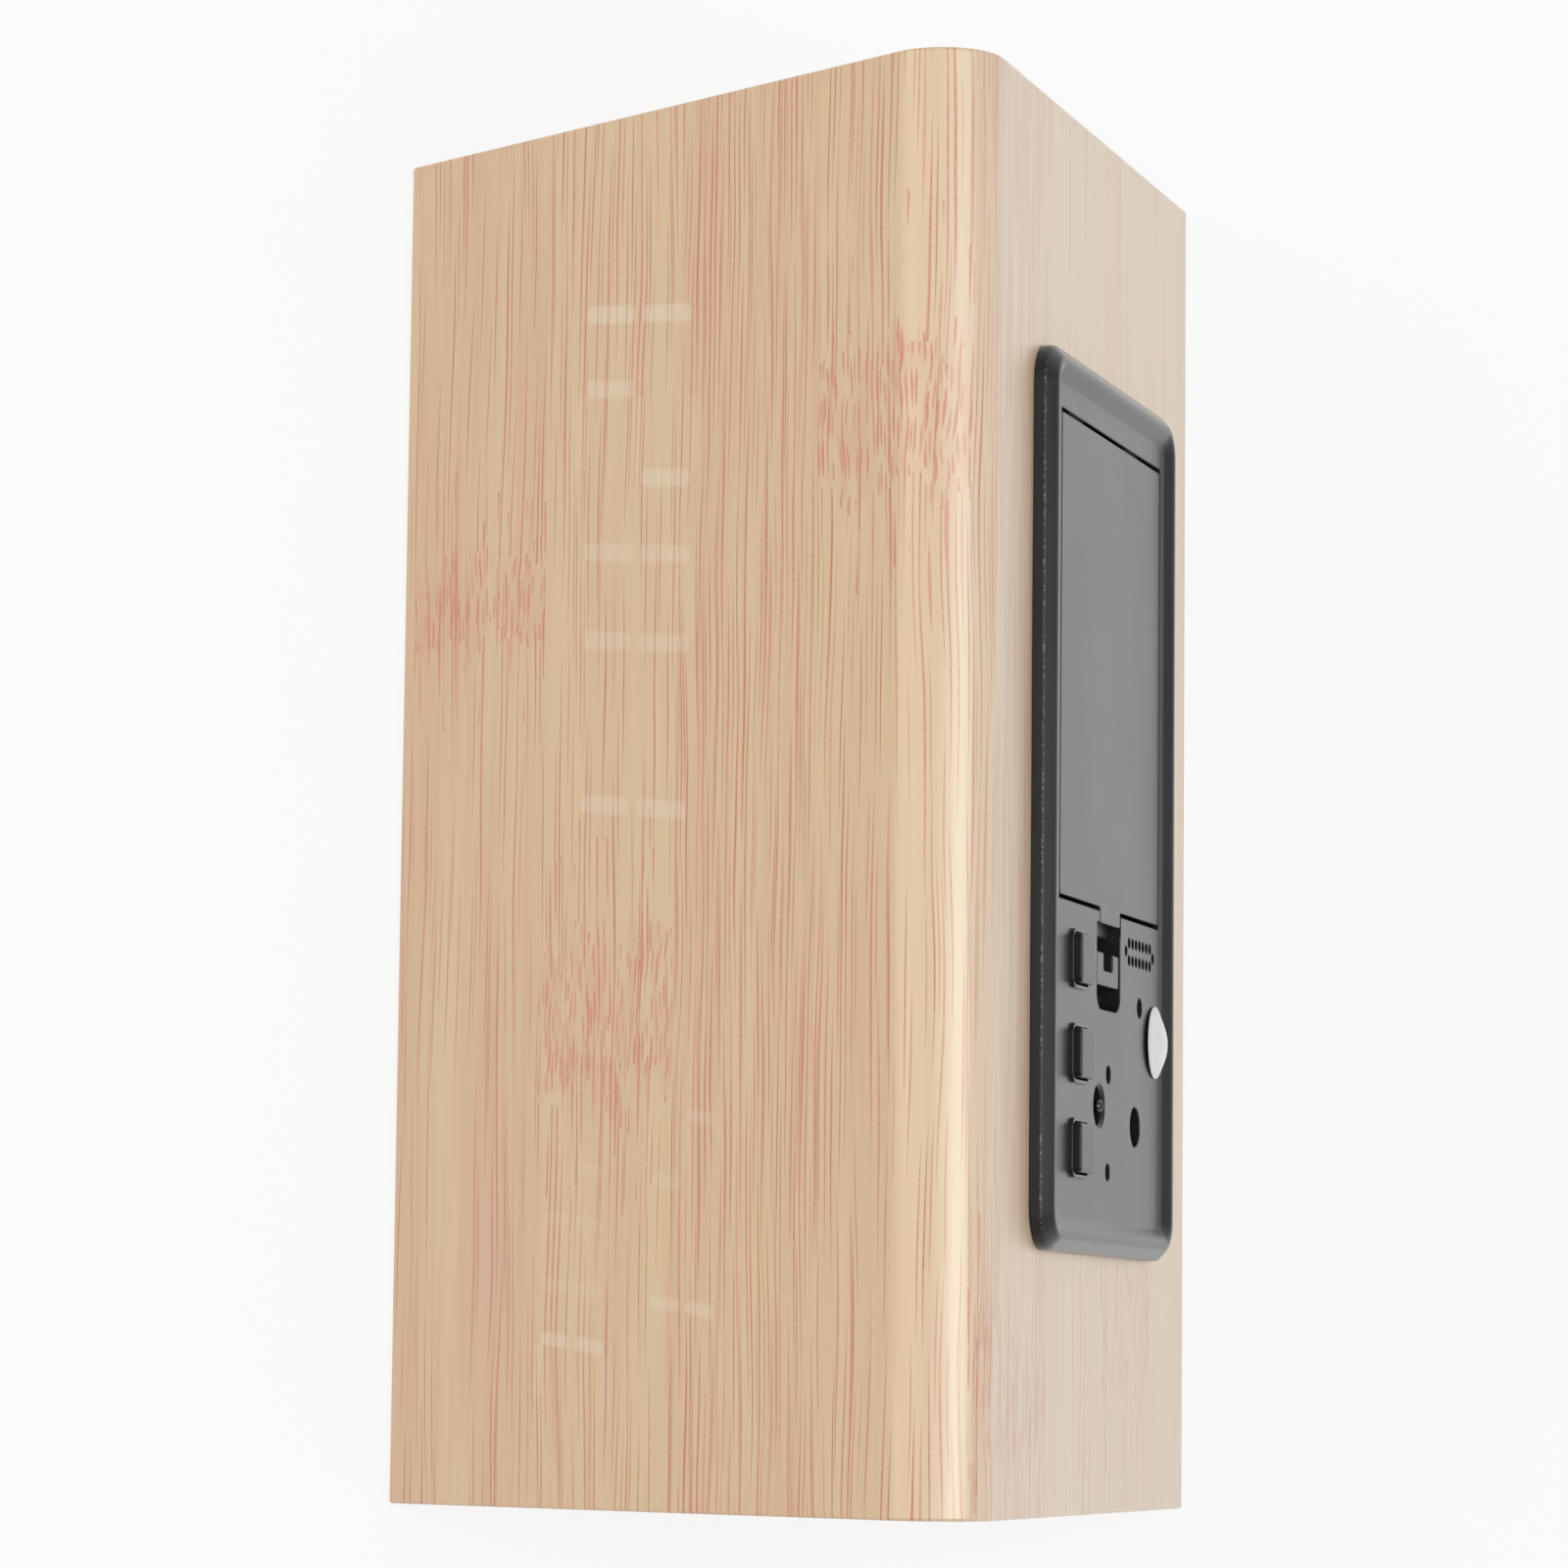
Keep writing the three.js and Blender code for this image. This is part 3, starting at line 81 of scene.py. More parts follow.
# %% Camera
camera_spot = Vector((0.062262, -0.138082, 0.627076))
camera_right = Vector((-0.010991, 0.976822, 0.213771))
camera_down = Vector((0.994268, 0.033414, -0.101562))
camera_forward = Vector((-0.106351, 0.211429, -0.971590))
camera_turn = Matrix((camera_right, -camera_down, -camera_forward)).transposed()
camera_data = bpy.data.cameras.new("camera")
camera_data.lens = 130.41
camera_data.sensor_width = 36
camera_data.clip_start = 0.01
camera = bpy.data.objects.new("camera", camera_data)
camera.matrix_world = Matrix.Translation(camera_spot) @ camera_turn.to_4x4()
scene.collection.objects.link(camera)
scene.camera = camera
print("camera lens:", camera_data.lens, "mm")

# %% [markdown]
# ## Shader maths
# A finish is a small calculation at every point of a surface. Wiring it by hand takes many lines, so one
# class wraps a socket: plus, minus and times on it add Math nodes, and one method adds any other node.

# %% A wrapped socket
class Wire:
    """A socket in a material's nodes. Arithmetic on it adds Math nodes."""

    def __init__(self, tree, socket):
        self.tree = tree
        self.socket = socket

    def node(self, kind, settings=None, inputs=None, output=0):
        """Adds a node, sets it up, feeds its inputs and gives back one of its outputs."""
        made = self.tree.nodes.new(kind)
        for name, value in (settings or {}).items():
            if name == "stops":
                set_stops(made.color_ramp, value)
            else:
                setattr(made, name, value)
        for name, value in (inputs or {}).items():
            if isinstance(value, Wire):
                self.tree.links.new(value.socket, made.inputs[name])
            else:
                made.inputs[name].default_value = value
        return Wire(self.tree, made.outputs[output])

    def math(self, operation, *values):
        return self.node("ShaderNodeMath", {"operation": operation}, dict(enumerate(values)))

    def __add__(self, other):
        return self.math("ADD", self, other)

    def __sub__(self, other):
        return self.math("SUBTRACT", self, other)

    def __rsub__(self, other):
        return self.math("SUBTRACT", other, self)

    def __mul__(self, other):
        return self.math("MULTIPLY", self, other)

    def __truediv__(self, other):
        return self.math("DIVIDE", self, other)

    def __abs__(self):
        return self.math("ABSOLUTE", self)

    __radd__ = __add__
    __rmul__ = __mul__


def set_stops(ramp, stops):
    """Makes a colour ramp one of hard steps, each a place and a colour."""
    ramp.interpolation = "CONSTANT"
    while len(ramp.elements) < len(stops):
        ramp.elements.new(1.0)
    for element, (place, colour) in zip(ramp.elements, stops):
        element.position = place
        element.color = (*colour, 1)


print("wrapped sockets ready")

# %% Colours and soft steps
def paint(red, green, blue):
    """A colour as a paint chart gives it, 0 to 255, made linear for the shader."""
    shares = [value / 255 for value in (red, green, blue)]
    return tuple(v / 12.92 if v <= 0.04045 else ((v + 0.055) / 1.055) ** 2.4 for v in shares)


def smooth(value, low, high):
    """Rises softly from 0 at low to 1 at high."""
    inputs = {"Value": value, "From Min": low, "From Max": high}
    return value.node("ShaderNodeMapRange", {"interpolation_type": "SMOOTHSTEP"}, inputs)


def noise(vector, scale=1.0, detail=2.0):
    return vector.node("ShaderNodeTexNoise", None, {"Vector": vector, "Scale": scale, "Detail": detail})


def part(vector, name):
    """One coordinate of a vector."""
    return vector.node("ShaderNodeSeparateXYZ", None, {"Vector": vector}, output=name)


def mix(factor, first, second):
    """Blends two colours, each a wire or a plain linear colour."""
    colours = [value if isinstance(value, Wire) else (*value, 1) for value in (first, second)]
    # The node has a set of sockets for each kind of value: 6 and 7 take colours, and output 2 gives one.
    inputs = {0: factor, 6: colours[0], 7: colours[1]}
    return factor.node("ShaderNodeMix", {"data_type": "RGBA"}, inputs, output=2)


def toned(colour, share):
    """A lighter or darker tone of a plain colour."""
    return tuple(value * share for value in colour)


print("a mid grey is", round(paint(128, 128, 128)[0], 3), "in linear light")

# %% A finish to fill in
def new_finish(name):
    """An empty material; gives it back with its shader and its object coordinates."""
    material = bpy.data.materials.new(name)
    material.use_nodes = True
    tree = material.node_tree
    place = Wire(tree, tree.nodes.new("ShaderNodeTexCoord").outputs["Object"])
    return material, tree.nodes["Principled BSDF"], place


def feed(shader, name, wire):
    wire.tree.links.new(wire.socket, shader.inputs[name])


def bump(shader, height, depth):
    """Lets a height of 0 to 1, worth depth in millimetres, tilt the surface."""
    inputs = {"Height": height, "Distance": depth * MM}
    feed(shader, "Normal", height.node("ShaderNodeBump", None, inputs))


print("finish helpers ready")

# %% [markdown]
# ## Bamboo print
# The film is printed as strips of split bamboo, side by side. Each strip has its own tint, fine red-brown
# fibres that run along the clock, and here and there a node, where the fibres break into short dashes.
# A picture of bamboo would be one way. Here the print is calculated: a strip is divided into narrow lanes,
# and each lane holds lines that swell and taper, with places and lengths drawn by lot.

# %% Bamboo strips
TAN = paint(216, 182, 127)
ROSE = paint(211, 164, 121)
FIBRE = paint(198, 94, 32)
DARK_FIBRE = paint(176, 72, 22)
# Cream of the painted sheen that pales the print toward the back.
SHEEN_CREAM = paint(236, 220, 196)
PRINT_WIDTH = 200
FAR_AWAY = 200
# From the back's foot over the ridge to the front's foot: where across the film a strip starts, its
# rosiness and share of fibres, where along the clock its node lies, half the node's length and its strength.
STRIPS = [
    (-93.4, 0.35, 0.20, FAR_AWAY, 5, 0.0),
    (-71.2, 0.45, 0.15, 57, 6, 0.4),
    (-49.0, 0.35, 0.15, FAR_AWAY, 6, 0.0),
    (-26.8, 0.35, 0.85, 64, 6, 0.7),
    (-2.0, 0.05, 0.60, -37, 7.5, 1.0),
    (17.6, 0.20, 0.95, FAR_AWAY, 6, 0.0),
    (39.8, 0.10, 0.50, 22, 7.5, 1.0),
    (62.0, 0.40, 0.35, -24, 4.5, 0.9),
    (84.2, 0.45, 0.30, FAR_AWAY, 6, 0.0),
]
print("bamboo strips:", len(STRIPS))

# %% Look up a strip's character
LONGEST_NODE = 10


def whole(value):
    return value.math("FLOOR", value)


def channels(colour, *names):
    return [colour.node("ShaderNodeSeparateColor", None, {"Color": colour}, output=name) for name in names]


def strip_character(across):
    """Rosiness and fibre share of a strip, its node's place, half length and strength, and its number."""
    count = len(STRIPS)
    first = STRIPS[0][0]
    place = (across - first) / PRINT_WIDTH
    looks = []
    knots = []
    for index, (start, rosiness, fibres, knot, reach, strength) in enumerate(STRIPS):
        stop = (start - first) / PRINT_WIDTH
        looks.append((stop, (rosiness, fibres, index / count)))
        knots.append((stop, (knot / FAR_AWAY / 2 + 0.5, reach / LONGEST_NODE, strength)))
    look = place.node("ShaderNodeValToRGB", {"stops": looks}, {"Fac": place})
    knot = place.node("ShaderNodeValToRGB", {"stops": knots}, {"Fac": place})
    rosiness, fibres, number = channels(look, "Red", "Green", "Blue")
    spot, reach, strength = channels(knot, "Red", "Green", "Blue")
    spot = (spot - 0.5) * (2 * FAR_AWAY)
    return rosiness, fibres, spot, reach * LONGEST_NODE, strength, number * count


print("widest node:", 2 * LONGEST_NODE, "mm")

# %% Lines in lanes
# Lanes start up to ten runs apart. A line's half length, as a share of its run, is the shortest plus a share
# of the spread, and it lies up to a fifth of a lane to either side.
LANE_STARTS = 10
SHORTEST_HALF = 0.27
HALF_SPREAD = 0.22
ASIDE = 0.4
LINE_EDGE = (0.2, 1.0)
THINNEST_TAPER = 0.001


def drawn_out(along, across, length, width, shift, detail=1.5):
    """Noise whose grains are about length along the clock and width across it, in millimetres."""
    inputs = {"X": along / length, "Y": across / width, "Z": shift}
    return noise(along.node("ShaderNodeCombineXYZ", None, inputs), detail=detail)


def lots(first, second, third):
    """Three numbers from 0 to 1 that are drawn by lot, the same wherever the three inputs are the same."""
    cell = third.node("ShaderNodeCombineXYZ", None, {"X": first, "Y": second, "Z": third})
    drawn = cell.node("ShaderNodeTexWhiteNoise", None, {"Vector": cell}, output="Color")
    return channels(drawn, "Red", "Green", "Blue")


def lines(along, across, lane_width, run, half_width, share, shift):
    """Tapered lines, one to a lane and run where the lot falls within the share: 1 on a line, 0 beside it."""
    lane = whole(across / lane_width)
    start = lots(lane, 0, shift)[0]
    place = along / run + start * LANE_STARTS
    stretch = whole(place)
    lot, aside, length = lots(lane, stretch, shift + 0.5)
    from_middle = (place - stretch - 0.5) / (length * HALF_SPREAD + SHORTEST_HALF)
    bulge = 1 - from_middle * from_middle
    taper = bulge.math("MAXIMUM", bulge, THINNEST_TAPER)
    beside = abs(across / lane_width - lane - 0.5 - (aside - 0.5) * ASIDE) * lane_width
    line = 1 - smooth(beside / (taper * half_width), *LINE_EDGE)
    return line * lot.math("LESS_THAN", lot, share) * (length * 0.5 + 0.5)


print("line helpers ready")

# %% Grains and lines of the print
# Grains of its noises: length along the clock and width across it, in millimetres.
PATCH = (70, 8)
HAZE = (36, 1.3)
BEAD = (0.6, 0.3)
SWAY = (45, 12)
WANDER = (9, 4)
RIPPLE = (6, 4)
BLUSH = (8, 2.5)
# Kinds of line: width of a lane, length of a run and half the line's own width, in millimetres.
STRAND = (0.9, 44, 0.23)
THREAD = (0.7, 26, 0.15)
DASH = (0.8, 14, 0.27)
FLECK = (0.6, 5, 0.25)
# How far the lines sway, a node's edge wanders and its lines ripple, in millimetres.
SWAY_WIDTH = 3
WANDER_LENGTH = 16
RIPPLE_WIDTH = 1.2
# Toward the back a painted sheen pales the print: how pale its ground and its lines become, and where that
# starts and ends.
BACK_PAINTED_SHEEN = 0.5
LINE_PAINTED_SHEEN = 0.45
PAINTED_SHEEN_FROM = (-4, 7)
print("longest run of a fibre:", STRAND[1], "mm")

# %% The whole print
def bamboo(along, across, with_painted_sheen=False):
    """Colour of the print and height of its skin, from two coordinates in millimetres."""
    rosiness, fibres, knot, reach, strength, number = strip_character(across)
    shift = number * 7

    def grains(size, depth):
        """One of the print's noises, read at a depth of its own, so that no two run alike."""
        return drawn_out(along, across, *size, shift + depth)

    colour = mix(smooth(grains(PATCH, 0) + rosiness * 0.5, 0.40, 1.05), TAN, ROSE)
    haze = smooth(grains(HAZE, 3) + fibres * 0.10, 0.46, 0.76)
    colour = mix(haze * (0.08 + rosiness * 0.3), colour, FIBRE)
    beads = grains(BEAD, 0) * 1.2 + 0.4
    # A painted sheen: toward the back the ground turns cream and the lines pale, as the low-angle gloss would
    # make them.
    if with_painted_sheen:
        sheen_share = 1 - smooth(across, *PAINTED_SHEEN_FROM)
        colour = mix(sheen_share * BACK_PAINTED_SHEEN, colour, SHEEN_CREAM)
        beads = beads * (1 - sheen_share * LINE_PAINTED_SHEEN)

    bend = across + (grains(SWAY, 5) - 0.5) * SWAY_WIDTH
    from_knot = abs(along - knot + (grains(WANDER, 6) - 0.5) * WANDER_LENGTH)
    core = (1 - smooth(from_knot, reach * 0.6, reach * 1.3)) * strength
    around = (1 - smooth(from_knot, reach, reach * 3.5)) * strength
    ripple = bend + (grains(RIPPLE, 8) - 0.5) * core * RIPPLE_WIDTH
    blush = core * smooth(grains(BLUSH, 9), 0.35, 0.7)
    colour = mix(blush * 0.22, colour, FIBRE)

    strands = lines(along, bend, *STRAND, fibres * (1 - core * 0.7), shift + 10)
    threads = lines(along, bend, *THREAD, fibres * 0.85 * (1 - core * 0.7), shift + 20)
    dashes = lines(along, ripple, *DASH, around * 0.5, shift + 30)
    flecks = lines(along, ripple, *FLECK, core * 0.8, shift + 40)
    for drawn, tint in ((strands, FIBRE), (threads, DARK_FIBRE), (dashes, FIBRE), (flecks, FIBRE)):
        colour = mix(drawn * beads, colour, tint)
    return colour, 1 - strands * 0.5 - haze * 0.2 - dashes * 0.4


print("bamboo pattern ready")

# %% [markdown]
# ## Digits behind the film
# The lights sit under the film, so a lit segment is a soft, slightly paler bar with the print still
# showing over it. Each digit is a grid of three columns and five rows, and a segment is a rounded bar where
# a column and a row cross. A point is lit by its distance from a bar. The whole display leans a little.

# %% Segments as crossings of columns and rows
SEGMENTS = {
    "a": ("middle", "top"),
    "b": ("right", "upper"),
    "c": ("right", "lower"),
    "d": ("middle", "bottom"),
    "e": ("left", "lower"),
    "f": ("left", "upper"),
    "g": ("middle", "centre"),
}
LIT = {"0": "abcdef", "1": "bc", "2": "abdeg", "5": "acdfg", "C": "adef"}
UPRIGHT_LIGHT = 1.0
LYING_LIGHT = 0.45
SEGMENT_ROUNDING = 0.7
EDGE_BLUR = 0.3
# Share of the stroke that is left free at the ends of an upright and of a lying segment.
UPRIGHT_GAP = 0.32
LYING_GAP = 0.4


def beyond(value, middle, half):
    """How far a value lies outside the straight part of a segment, 0 within it."""
    outside = abs(value - middle) - (half - SEGMENT_ROUNDING)
    return outside.math("MAXIMUM", outside, 0)


def rows_of(up, middle, height, stroke):
    quarter = height / 4
    upright = quarter - stroke * UPRIGHT_GAP
    return {
        "top": beyond(up, middle + 2 * quarter, stroke / 2),
        "upper": beyond(up, middle + quarter, upright),
        "centre": beyond(up, middle, stroke / 2),
        "lower": beyond(up, middle - quarter, upright),
        "bottom": beyond(up, middle - 2 * quarter, stroke / 2),
    }


def columns_of(sideways, middle, width, stroke):
    return {
        "left": beyond(sideways, middle - width / 2, stroke / 2),
        "middle": beyond(sideways, middle, width / 2 - stroke * LYING_GAP),
        "right": beyond(sideways, middle + width / 2, stroke / 2),
    }


print("segments in a digit:", len(SEGMENTS))

# %% Places of the digits
DISPLAY_LINE = 47
DISPLAY_SLANT = 0.115
TIME = "1201"
TIME_LIGHT = (1.0, 0.8, 0.65, 0.75)
TIME_FIRST = -57.7
TIME_PITCH = 17.8
TIME_WIDTH = 9.6
TIME_HEIGHT = 18.4
TIME_STROKE = 1.9
# How far each line of small symbols lies above the middle, and how strongly each symbol shines.
SMALL_LINES = [(9.0, {"5": 0.45, "1": 0.75}), (-8.7, {"2": 0.3, "0": 0.3, "C": 0.9})]
SMALL_FIRST = 36.1
SMALL_PITCH = 12.9
SMALL_WIDTH = 7.1
SMALL_HEIGHT = 11.2
SMALL_STROKE = 1.4
print("time on the display:", TIME)

# %% Light of the display
def digit_light(symbol, columns, rows):
    """Brightness of one lit symbol, 0 where it is dark."""
    light = 0
    for segment in LIT[symbol]:
        column, row = SEGMENTS[segment]
        strength = LYING_LIGHT if column == "middle" else UPRIGHT_LIGHT
        square = columns[column] * columns[column] + rows[row] * rows[row]
        outside = square.math("SQRT", square)
        inside = 1 - smooth(outside, SEGMENT_ROUNDING - EDGE_BLUR, SEGMENT_ROUNDING + EDGE_BLUR)
        light = light + inside * strength
    return light


def display_light(along, across):
    """Brightness of everything that shines through the front film."""
    up = DISPLAY_LINE - across
    sideways = along - up * DISPLAY_SLANT
    rows = rows_of(up, 0, TIME_HEIGHT, TIME_STROKE)
    light = 0
    for index, (symbol, strength) in enumerate(zip(TIME, TIME_LIGHT)):
        columns = columns_of(sideways, TIME_FIRST + index * TIME_PITCH, TIME_WIDTH, TIME_STROKE)
        light = light + digit_light(symbol, columns, rows) * strength
    small = [columns_of(sideways, SMALL_FIRST + i * SMALL_PITCH, SMALL_WIDTH, SMALL_STROKE) for i in range(3)]
    for middle, symbols in SMALL_LINES:
        rows = rows_of(up, middle, SMALL_HEIGHT, SMALL_STROKE)
        for (symbol, strength), columns in zip(symbols.items(), small):
            light = light + digit_light(symbol, columns, rows) * strength
    return light


print("symbols beside the time:", sum(len(symbols) for middle, symbols in SMALL_LINES))

# %% [markdown]
# The film has a satin skin under a clear lacquer: it scatters the tan print and mirrors its surroundings
# weakly, more so at a low angle. That makes the back paler than the front, and a painted sheen pales the
# print there too.
# A UV map carries the print around the ridge without a break. On the flat end and base boards, object
# coordinates do.

# %% Film finishes
LIT_FILM = paint(238, 234, 212)
LIT_SHARE = 0.26
CHART_UNIT = 100
FILM_IOR = 1.8
FILM_ROUGHNESS = 0.48
FILM_RELIEF = 0.008
LACQUER_ROUGHNESS = 0.36


def satin_skin(shader, place, colour, height):
    """The film's surface: satin, with a trace of the fibres in its gloss and shape."""
    grain = noise(place, scale=2600, detail=3)
    feed(shader, "Base Color", colour)
    feed(shader, "Roughness", FILM_ROUGHNESS + grain * 0.10 - height * 0.04)
    bump(shader, height * 0.6 + grain * 0.4, FILM_RELIEF)
    shader.inputs["IOR"].default_value = FILM_IOR
    shader.inputs["Coat Weight"].default_value = 1.0
    shader.inputs["Coat IOR"].default_value = FILM_IOR
    shader.inputs["Coat Roughness"].default_value = LACQUER_ROUGHNESS


def make_film_finish():
    material, shader, place = new_finish("bamboo_film")
    chart = place.node("ShaderNodeUVMap", {"uv_map": "film"})
    along = part(chart, "X") * CHART_UNIT
    across = part(chart, "Y") * CHART_UNIT
    colour, height = bamboo(along, across, with_painted_sheen=True)
    light = display_light(along, across)
    satin_skin(shader, place, mix(light * LIT_SHARE, colour, LIT_FILM), height)
    return material


def make_board_finish(name, along, across, offset):
    """The same print on a flat board, along two object axes."""
    material, shader, place = new_finish(name)
    colour, height = bamboo(part(place, along) / MM, part(place, across) / MM + offset)
    satin_skin(shader, place, colour, height)
    return material


film_finish = make_film_finish()
end_finish = make_board_finish("bamboo_end", "Y", "Z", -20)
base_finish = make_board_finish("bamboo_base", "X", "Y", 15)
print("nodes in the film's finish:", len(film_finish.node_tree.nodes))

# %% [markdown]
# ## Moulded plastic
# The panel is black plastic from a mould with a fine grain. Its smooth skin mirrors the bright room softly,
# which turns it grey at a low angle. The grain is a small bump, and faint smears vary the gloss. Where an
# edge is worn and glints, a function can say so, and a paler plastic is painted there, partly worn and partly
# a painted highlight.

# %% Plastic finishes
PANEL_BLACK = paint(33, 33, 36)
PANEL_ROUGHNESS = 0.36
SKIN_IOR = 1.28
SKIN_ROUGHNESS = 0.28
# Pale grey for the rim's edge specks: partly worn plastic, partly a painted highlight.
PALE_WEAR_AND_GLINT = paint(112, 112, 114)


def make_plastic(name, colour, roughness, grain_depth=0.006, skin=0.0, wear_and_glint=None):
    """A moulded plastic with fine grain and uneven gloss, and perhaps a glossier skin and pale places, partly
    worn and partly a painted highlight.
    """
    material, shader, place = new_finish(name)
    grain = noise(place, scale=5200)
    cloud = noise(place, scale=90, detail=4)
    tint = mix(smooth(cloud, 0.3, 0.75), colour, toned(colour, 1.25))
    # Pale places painted here are partly worn plastic and partly a painted highlight.
    if wear_and_glint:
        tint = mix(wear_and_glint(place), tint, PALE_WEAR_AND_GLINT)
    feed(shader, "Base Color", tint)
    feed(shader, "Roughness", (cloud - 0.5) * 0.12 + (grain - 0.5) * 0.1 + roughness)
    bump(shader, grain, grain_depth)
    if skin:
        shader.inputs["IOR"].default_value = SKIN_IOR
        shader.inputs["Coat IOR"].default_value = SKIN_IOR
    shader.inputs["Coat Weight"].default_value = skin
    shader.inputs["Coat Roughness"].default_value = SKIN_ROUGHNESS
    return material


black_plastic = make_plastic("black_moulding", PANEL_BLACK, PANEL_ROUGHNESS, skin=1.0)
button_plastic = make_plastic("button_moulding", PANEL_BLACK, 0.40, 0.012, skin=0.9)
dark_plastic = make_plastic("dark_moulding", paint(28, 28, 30), 0.5)
white_plastic = make_plastic("white_moulding", paint(232, 230, 224), 0.45)
milky_plastic = make_plastic("milky_sheet", paint(226, 222, 212), 0.3, 0.003)
ribbon_plastic = make_plastic("ribbon_sleeve", paint(160, 160, 160), 0.5)
print("panel finish:", black_plastic.name)

# %% [markdown]
# ## Metal, boards, paper and cell sleeves
# Behind the cover lie plated contacts and cells, and deeper inside circuit boards and raw fibreboard. Each
# has a small pattern of its own: dull spots on metal, tracks under green lacquer, wood dust in the
# fibreboard, felted fibres in paper.

# %% Metal finishes
def make_metal(name, colour, roughness):
    """Plated metal with fine drawing marks and a few dull spots."""
    material, shader, place = new_finish(name)
    marks = noise(place, scale=3000, detail=3)
    dull = noise(place, scale=240, detail=4)
    feed(shader, "Base Color", mix(smooth(dull, 0.35, 0.75), colour, toned(colour, 0.82)))
    feed(shader, "Roughness", (dull - 0.5) * 0.2 + (marks - 0.5) * 0.08 + roughness)
    shader.inputs["Metallic"].default_value = 1
    bump(shader, marks, 0.003)
    return material


nickel = make_metal("nickel_plate", paint(205, 202, 194), 0.24)
# Nickel for the inlet's pin, painted dark: painted shade for the dark hollow that the bright pin mirrors.
nickel_with_painted_shade = make_metal("nickel_with_painted_shade", paint(86, 85, 83), 0.22)
steel = make_metal("zinc_steel", paint(178, 178, 176), 0.34)
print("metals:", nickel.name, steel.name)

# %% Board finishes
def make_circuit_board():
    """Green lacquer over tracks."""
    material, shader, place = new_finish("circuit_lacquer")
    inputs = {"Vector": place, "Scale": 420, "Randomness": 0.4}
    tracks = 1 - smooth(place.node("ShaderNodeTexVoronoi", {"distance": "MANHATTAN"}, inputs), 0.3, 0.4)
    feed(shader, "Base Color", mix(tracks * 0.6, paint(30, 84, 50), paint(70, 128, 78)))
    feed(shader, "Roughness", noise(place, scale=900) * 0.16 + 0.3)
    bump(shader, tracks, 0.02)
    return material


def make_fibreboard():
    """Pressed wood dust: speckled brown and rough."""
    material, shader, place = new_finish("pressed_fibre")
    dust = noise(place, scale=1700, detail=4)
    flakes = noise(place, scale=420, detail=3)
    speckle = smooth(dust * 0.6 + flakes * 0.4, 0.35, 0.65)
    feed(shader, "Base Color", mix(speckle, paint(150, 116, 80), paint(190, 156, 116)))
    feed(shader, "Roughness", dust * 0.15 + 0.8)
    bump(shader, dust, 0.05)
    return material


circuit_lacquer = make_circuit_board()
pressed_fibre = make_fibreboard()
print("boards:", circuit_lacquer.name, pressed_fibre.name)

# %% Paper and cell sleeves
def make_paper():
    """White sticker paper with felted fibres."""
    material, shader, place = new_finish("sticker_paper")
    felt = noise(place, scale=2400, detail=5)
    cloud = noise(place, scale=300, detail=3)
    feed(shader, "Base Color", mix(smooth(cloud, 0.3, 0.7), paint(234, 234, 232), paint(245, 245, 243)))
    feed(shader, "Roughness", felt * 0.2 + 0.6)
    bump(shader, felt, 0.01)
    return material


def make_sleeve(name, colour):
    """Plain shrink sleeve of a cell."""
    material, shader, place = new_finish(name)
    cloud = noise(place, scale=160, detail=3)
    feed(shader, "Base Color", mix(smooth(cloud, 0.3, 0.7), colour, toned(colour, 1.2)))
    feed(shader, "Roughness", cloud * 0.12 + 0.24)
    return material


sticker_paper = make_paper()
cell_sleeve = make_sleeve("cell_sleeve", paint(52, 74, 70))
cell_band = make_sleeve("cell_band", paint(196, 198, 190))
print("paper and sleeves:", sticker_paper.name, cell_sleeve.name, cell_band.name)

# %% [markdown]
# ## Making a piece
# The two leaning faces are where everything happens, and the back one gets a frame of its own: x runs along
# the clock, y down the slope and z out of the face. A piece is modelled flat in that frame, in
# millimetres, and one matrix then carries its vertices to their real place. The object stays at the origin.

# %% Case measures and the back frame
CLOCK_LENGTH = 150
FACE_WIDTH = 91.7
RIDGE_RADIUS = 6.5
BASE_EDGE_RADIUS = 0.6
FILM = 0.4
LEAN = radians(60)
SHARP_HEIGHT = FACE_WIDTH * sin(LEAN)
RIDGE_CENTRE = SHARP_HEIGHT - 2 * RIDGE_RADIUS
PANEL_PLACE = 0.554
PANEL_FROM_RIDGE = FACE_WIDTH * PANEL_PLACE
UPRIGHT = Matrix.Scale(MM, 4)
panel_middle = Vector((0, PANEL_FROM_RIDGE * cos(LEAN), SHARP_HEIGHT - PANEL_FROM_RIDGE * sin(LEAN)))
BACK = UPRIGHT @ Matrix.Translation(panel_middle) @ Matrix.Rotation(-LEAN, 4, "X")
print("middle of the panel, in metres:", [round(v, 4) for v in BACK.translation])

# %% From bmesh to piece
SHARP_TURN = radians(38)


def make_piece(bm, name, placing, *finishes):
    """Turns a bmesh in millimetres into a finished object at its real place."""
    bmesh.ops.transform(bm, matrix=placing, verts=bm.verts)
    bmesh.ops.recalc_face_normals(bm, faces=bm.faces)
    mesh = bpy.data.meshes.new(name)
    bm.to_mesh(mesh)
    bm.free()
    mesh.shade_smooth()
    mesh.set_sharp_from_angle(angle=SHARP_TURN)
    for finish in finishes:
        mesh.materials.append(finish)
    piece = bpy.data.objects.new(name, mesh)
    scene.collection.objects.link(piece)
    return piece


def settle(piece, body, slot, *nodes):
    """Makes a piece ride on a body and stand for its nodes; its slot argument is not used. Flat faces get
    even shading.
    """
    evening = piece.modifiers.new("even_shading", "WEIGHTED_NORMAL")
    evening.keep_sharp = True
    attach(piece, body)
    if nodes:
        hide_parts(*nodes)
    print(piece.name, "has", len(piece.data.polygons), "faces and rides on", body)


print("a turn sharper than", round(degrees(SHARP_TURN)), "degrees is shaded as an edge")

# %% Small mesh helpers
NEAR = 0.001


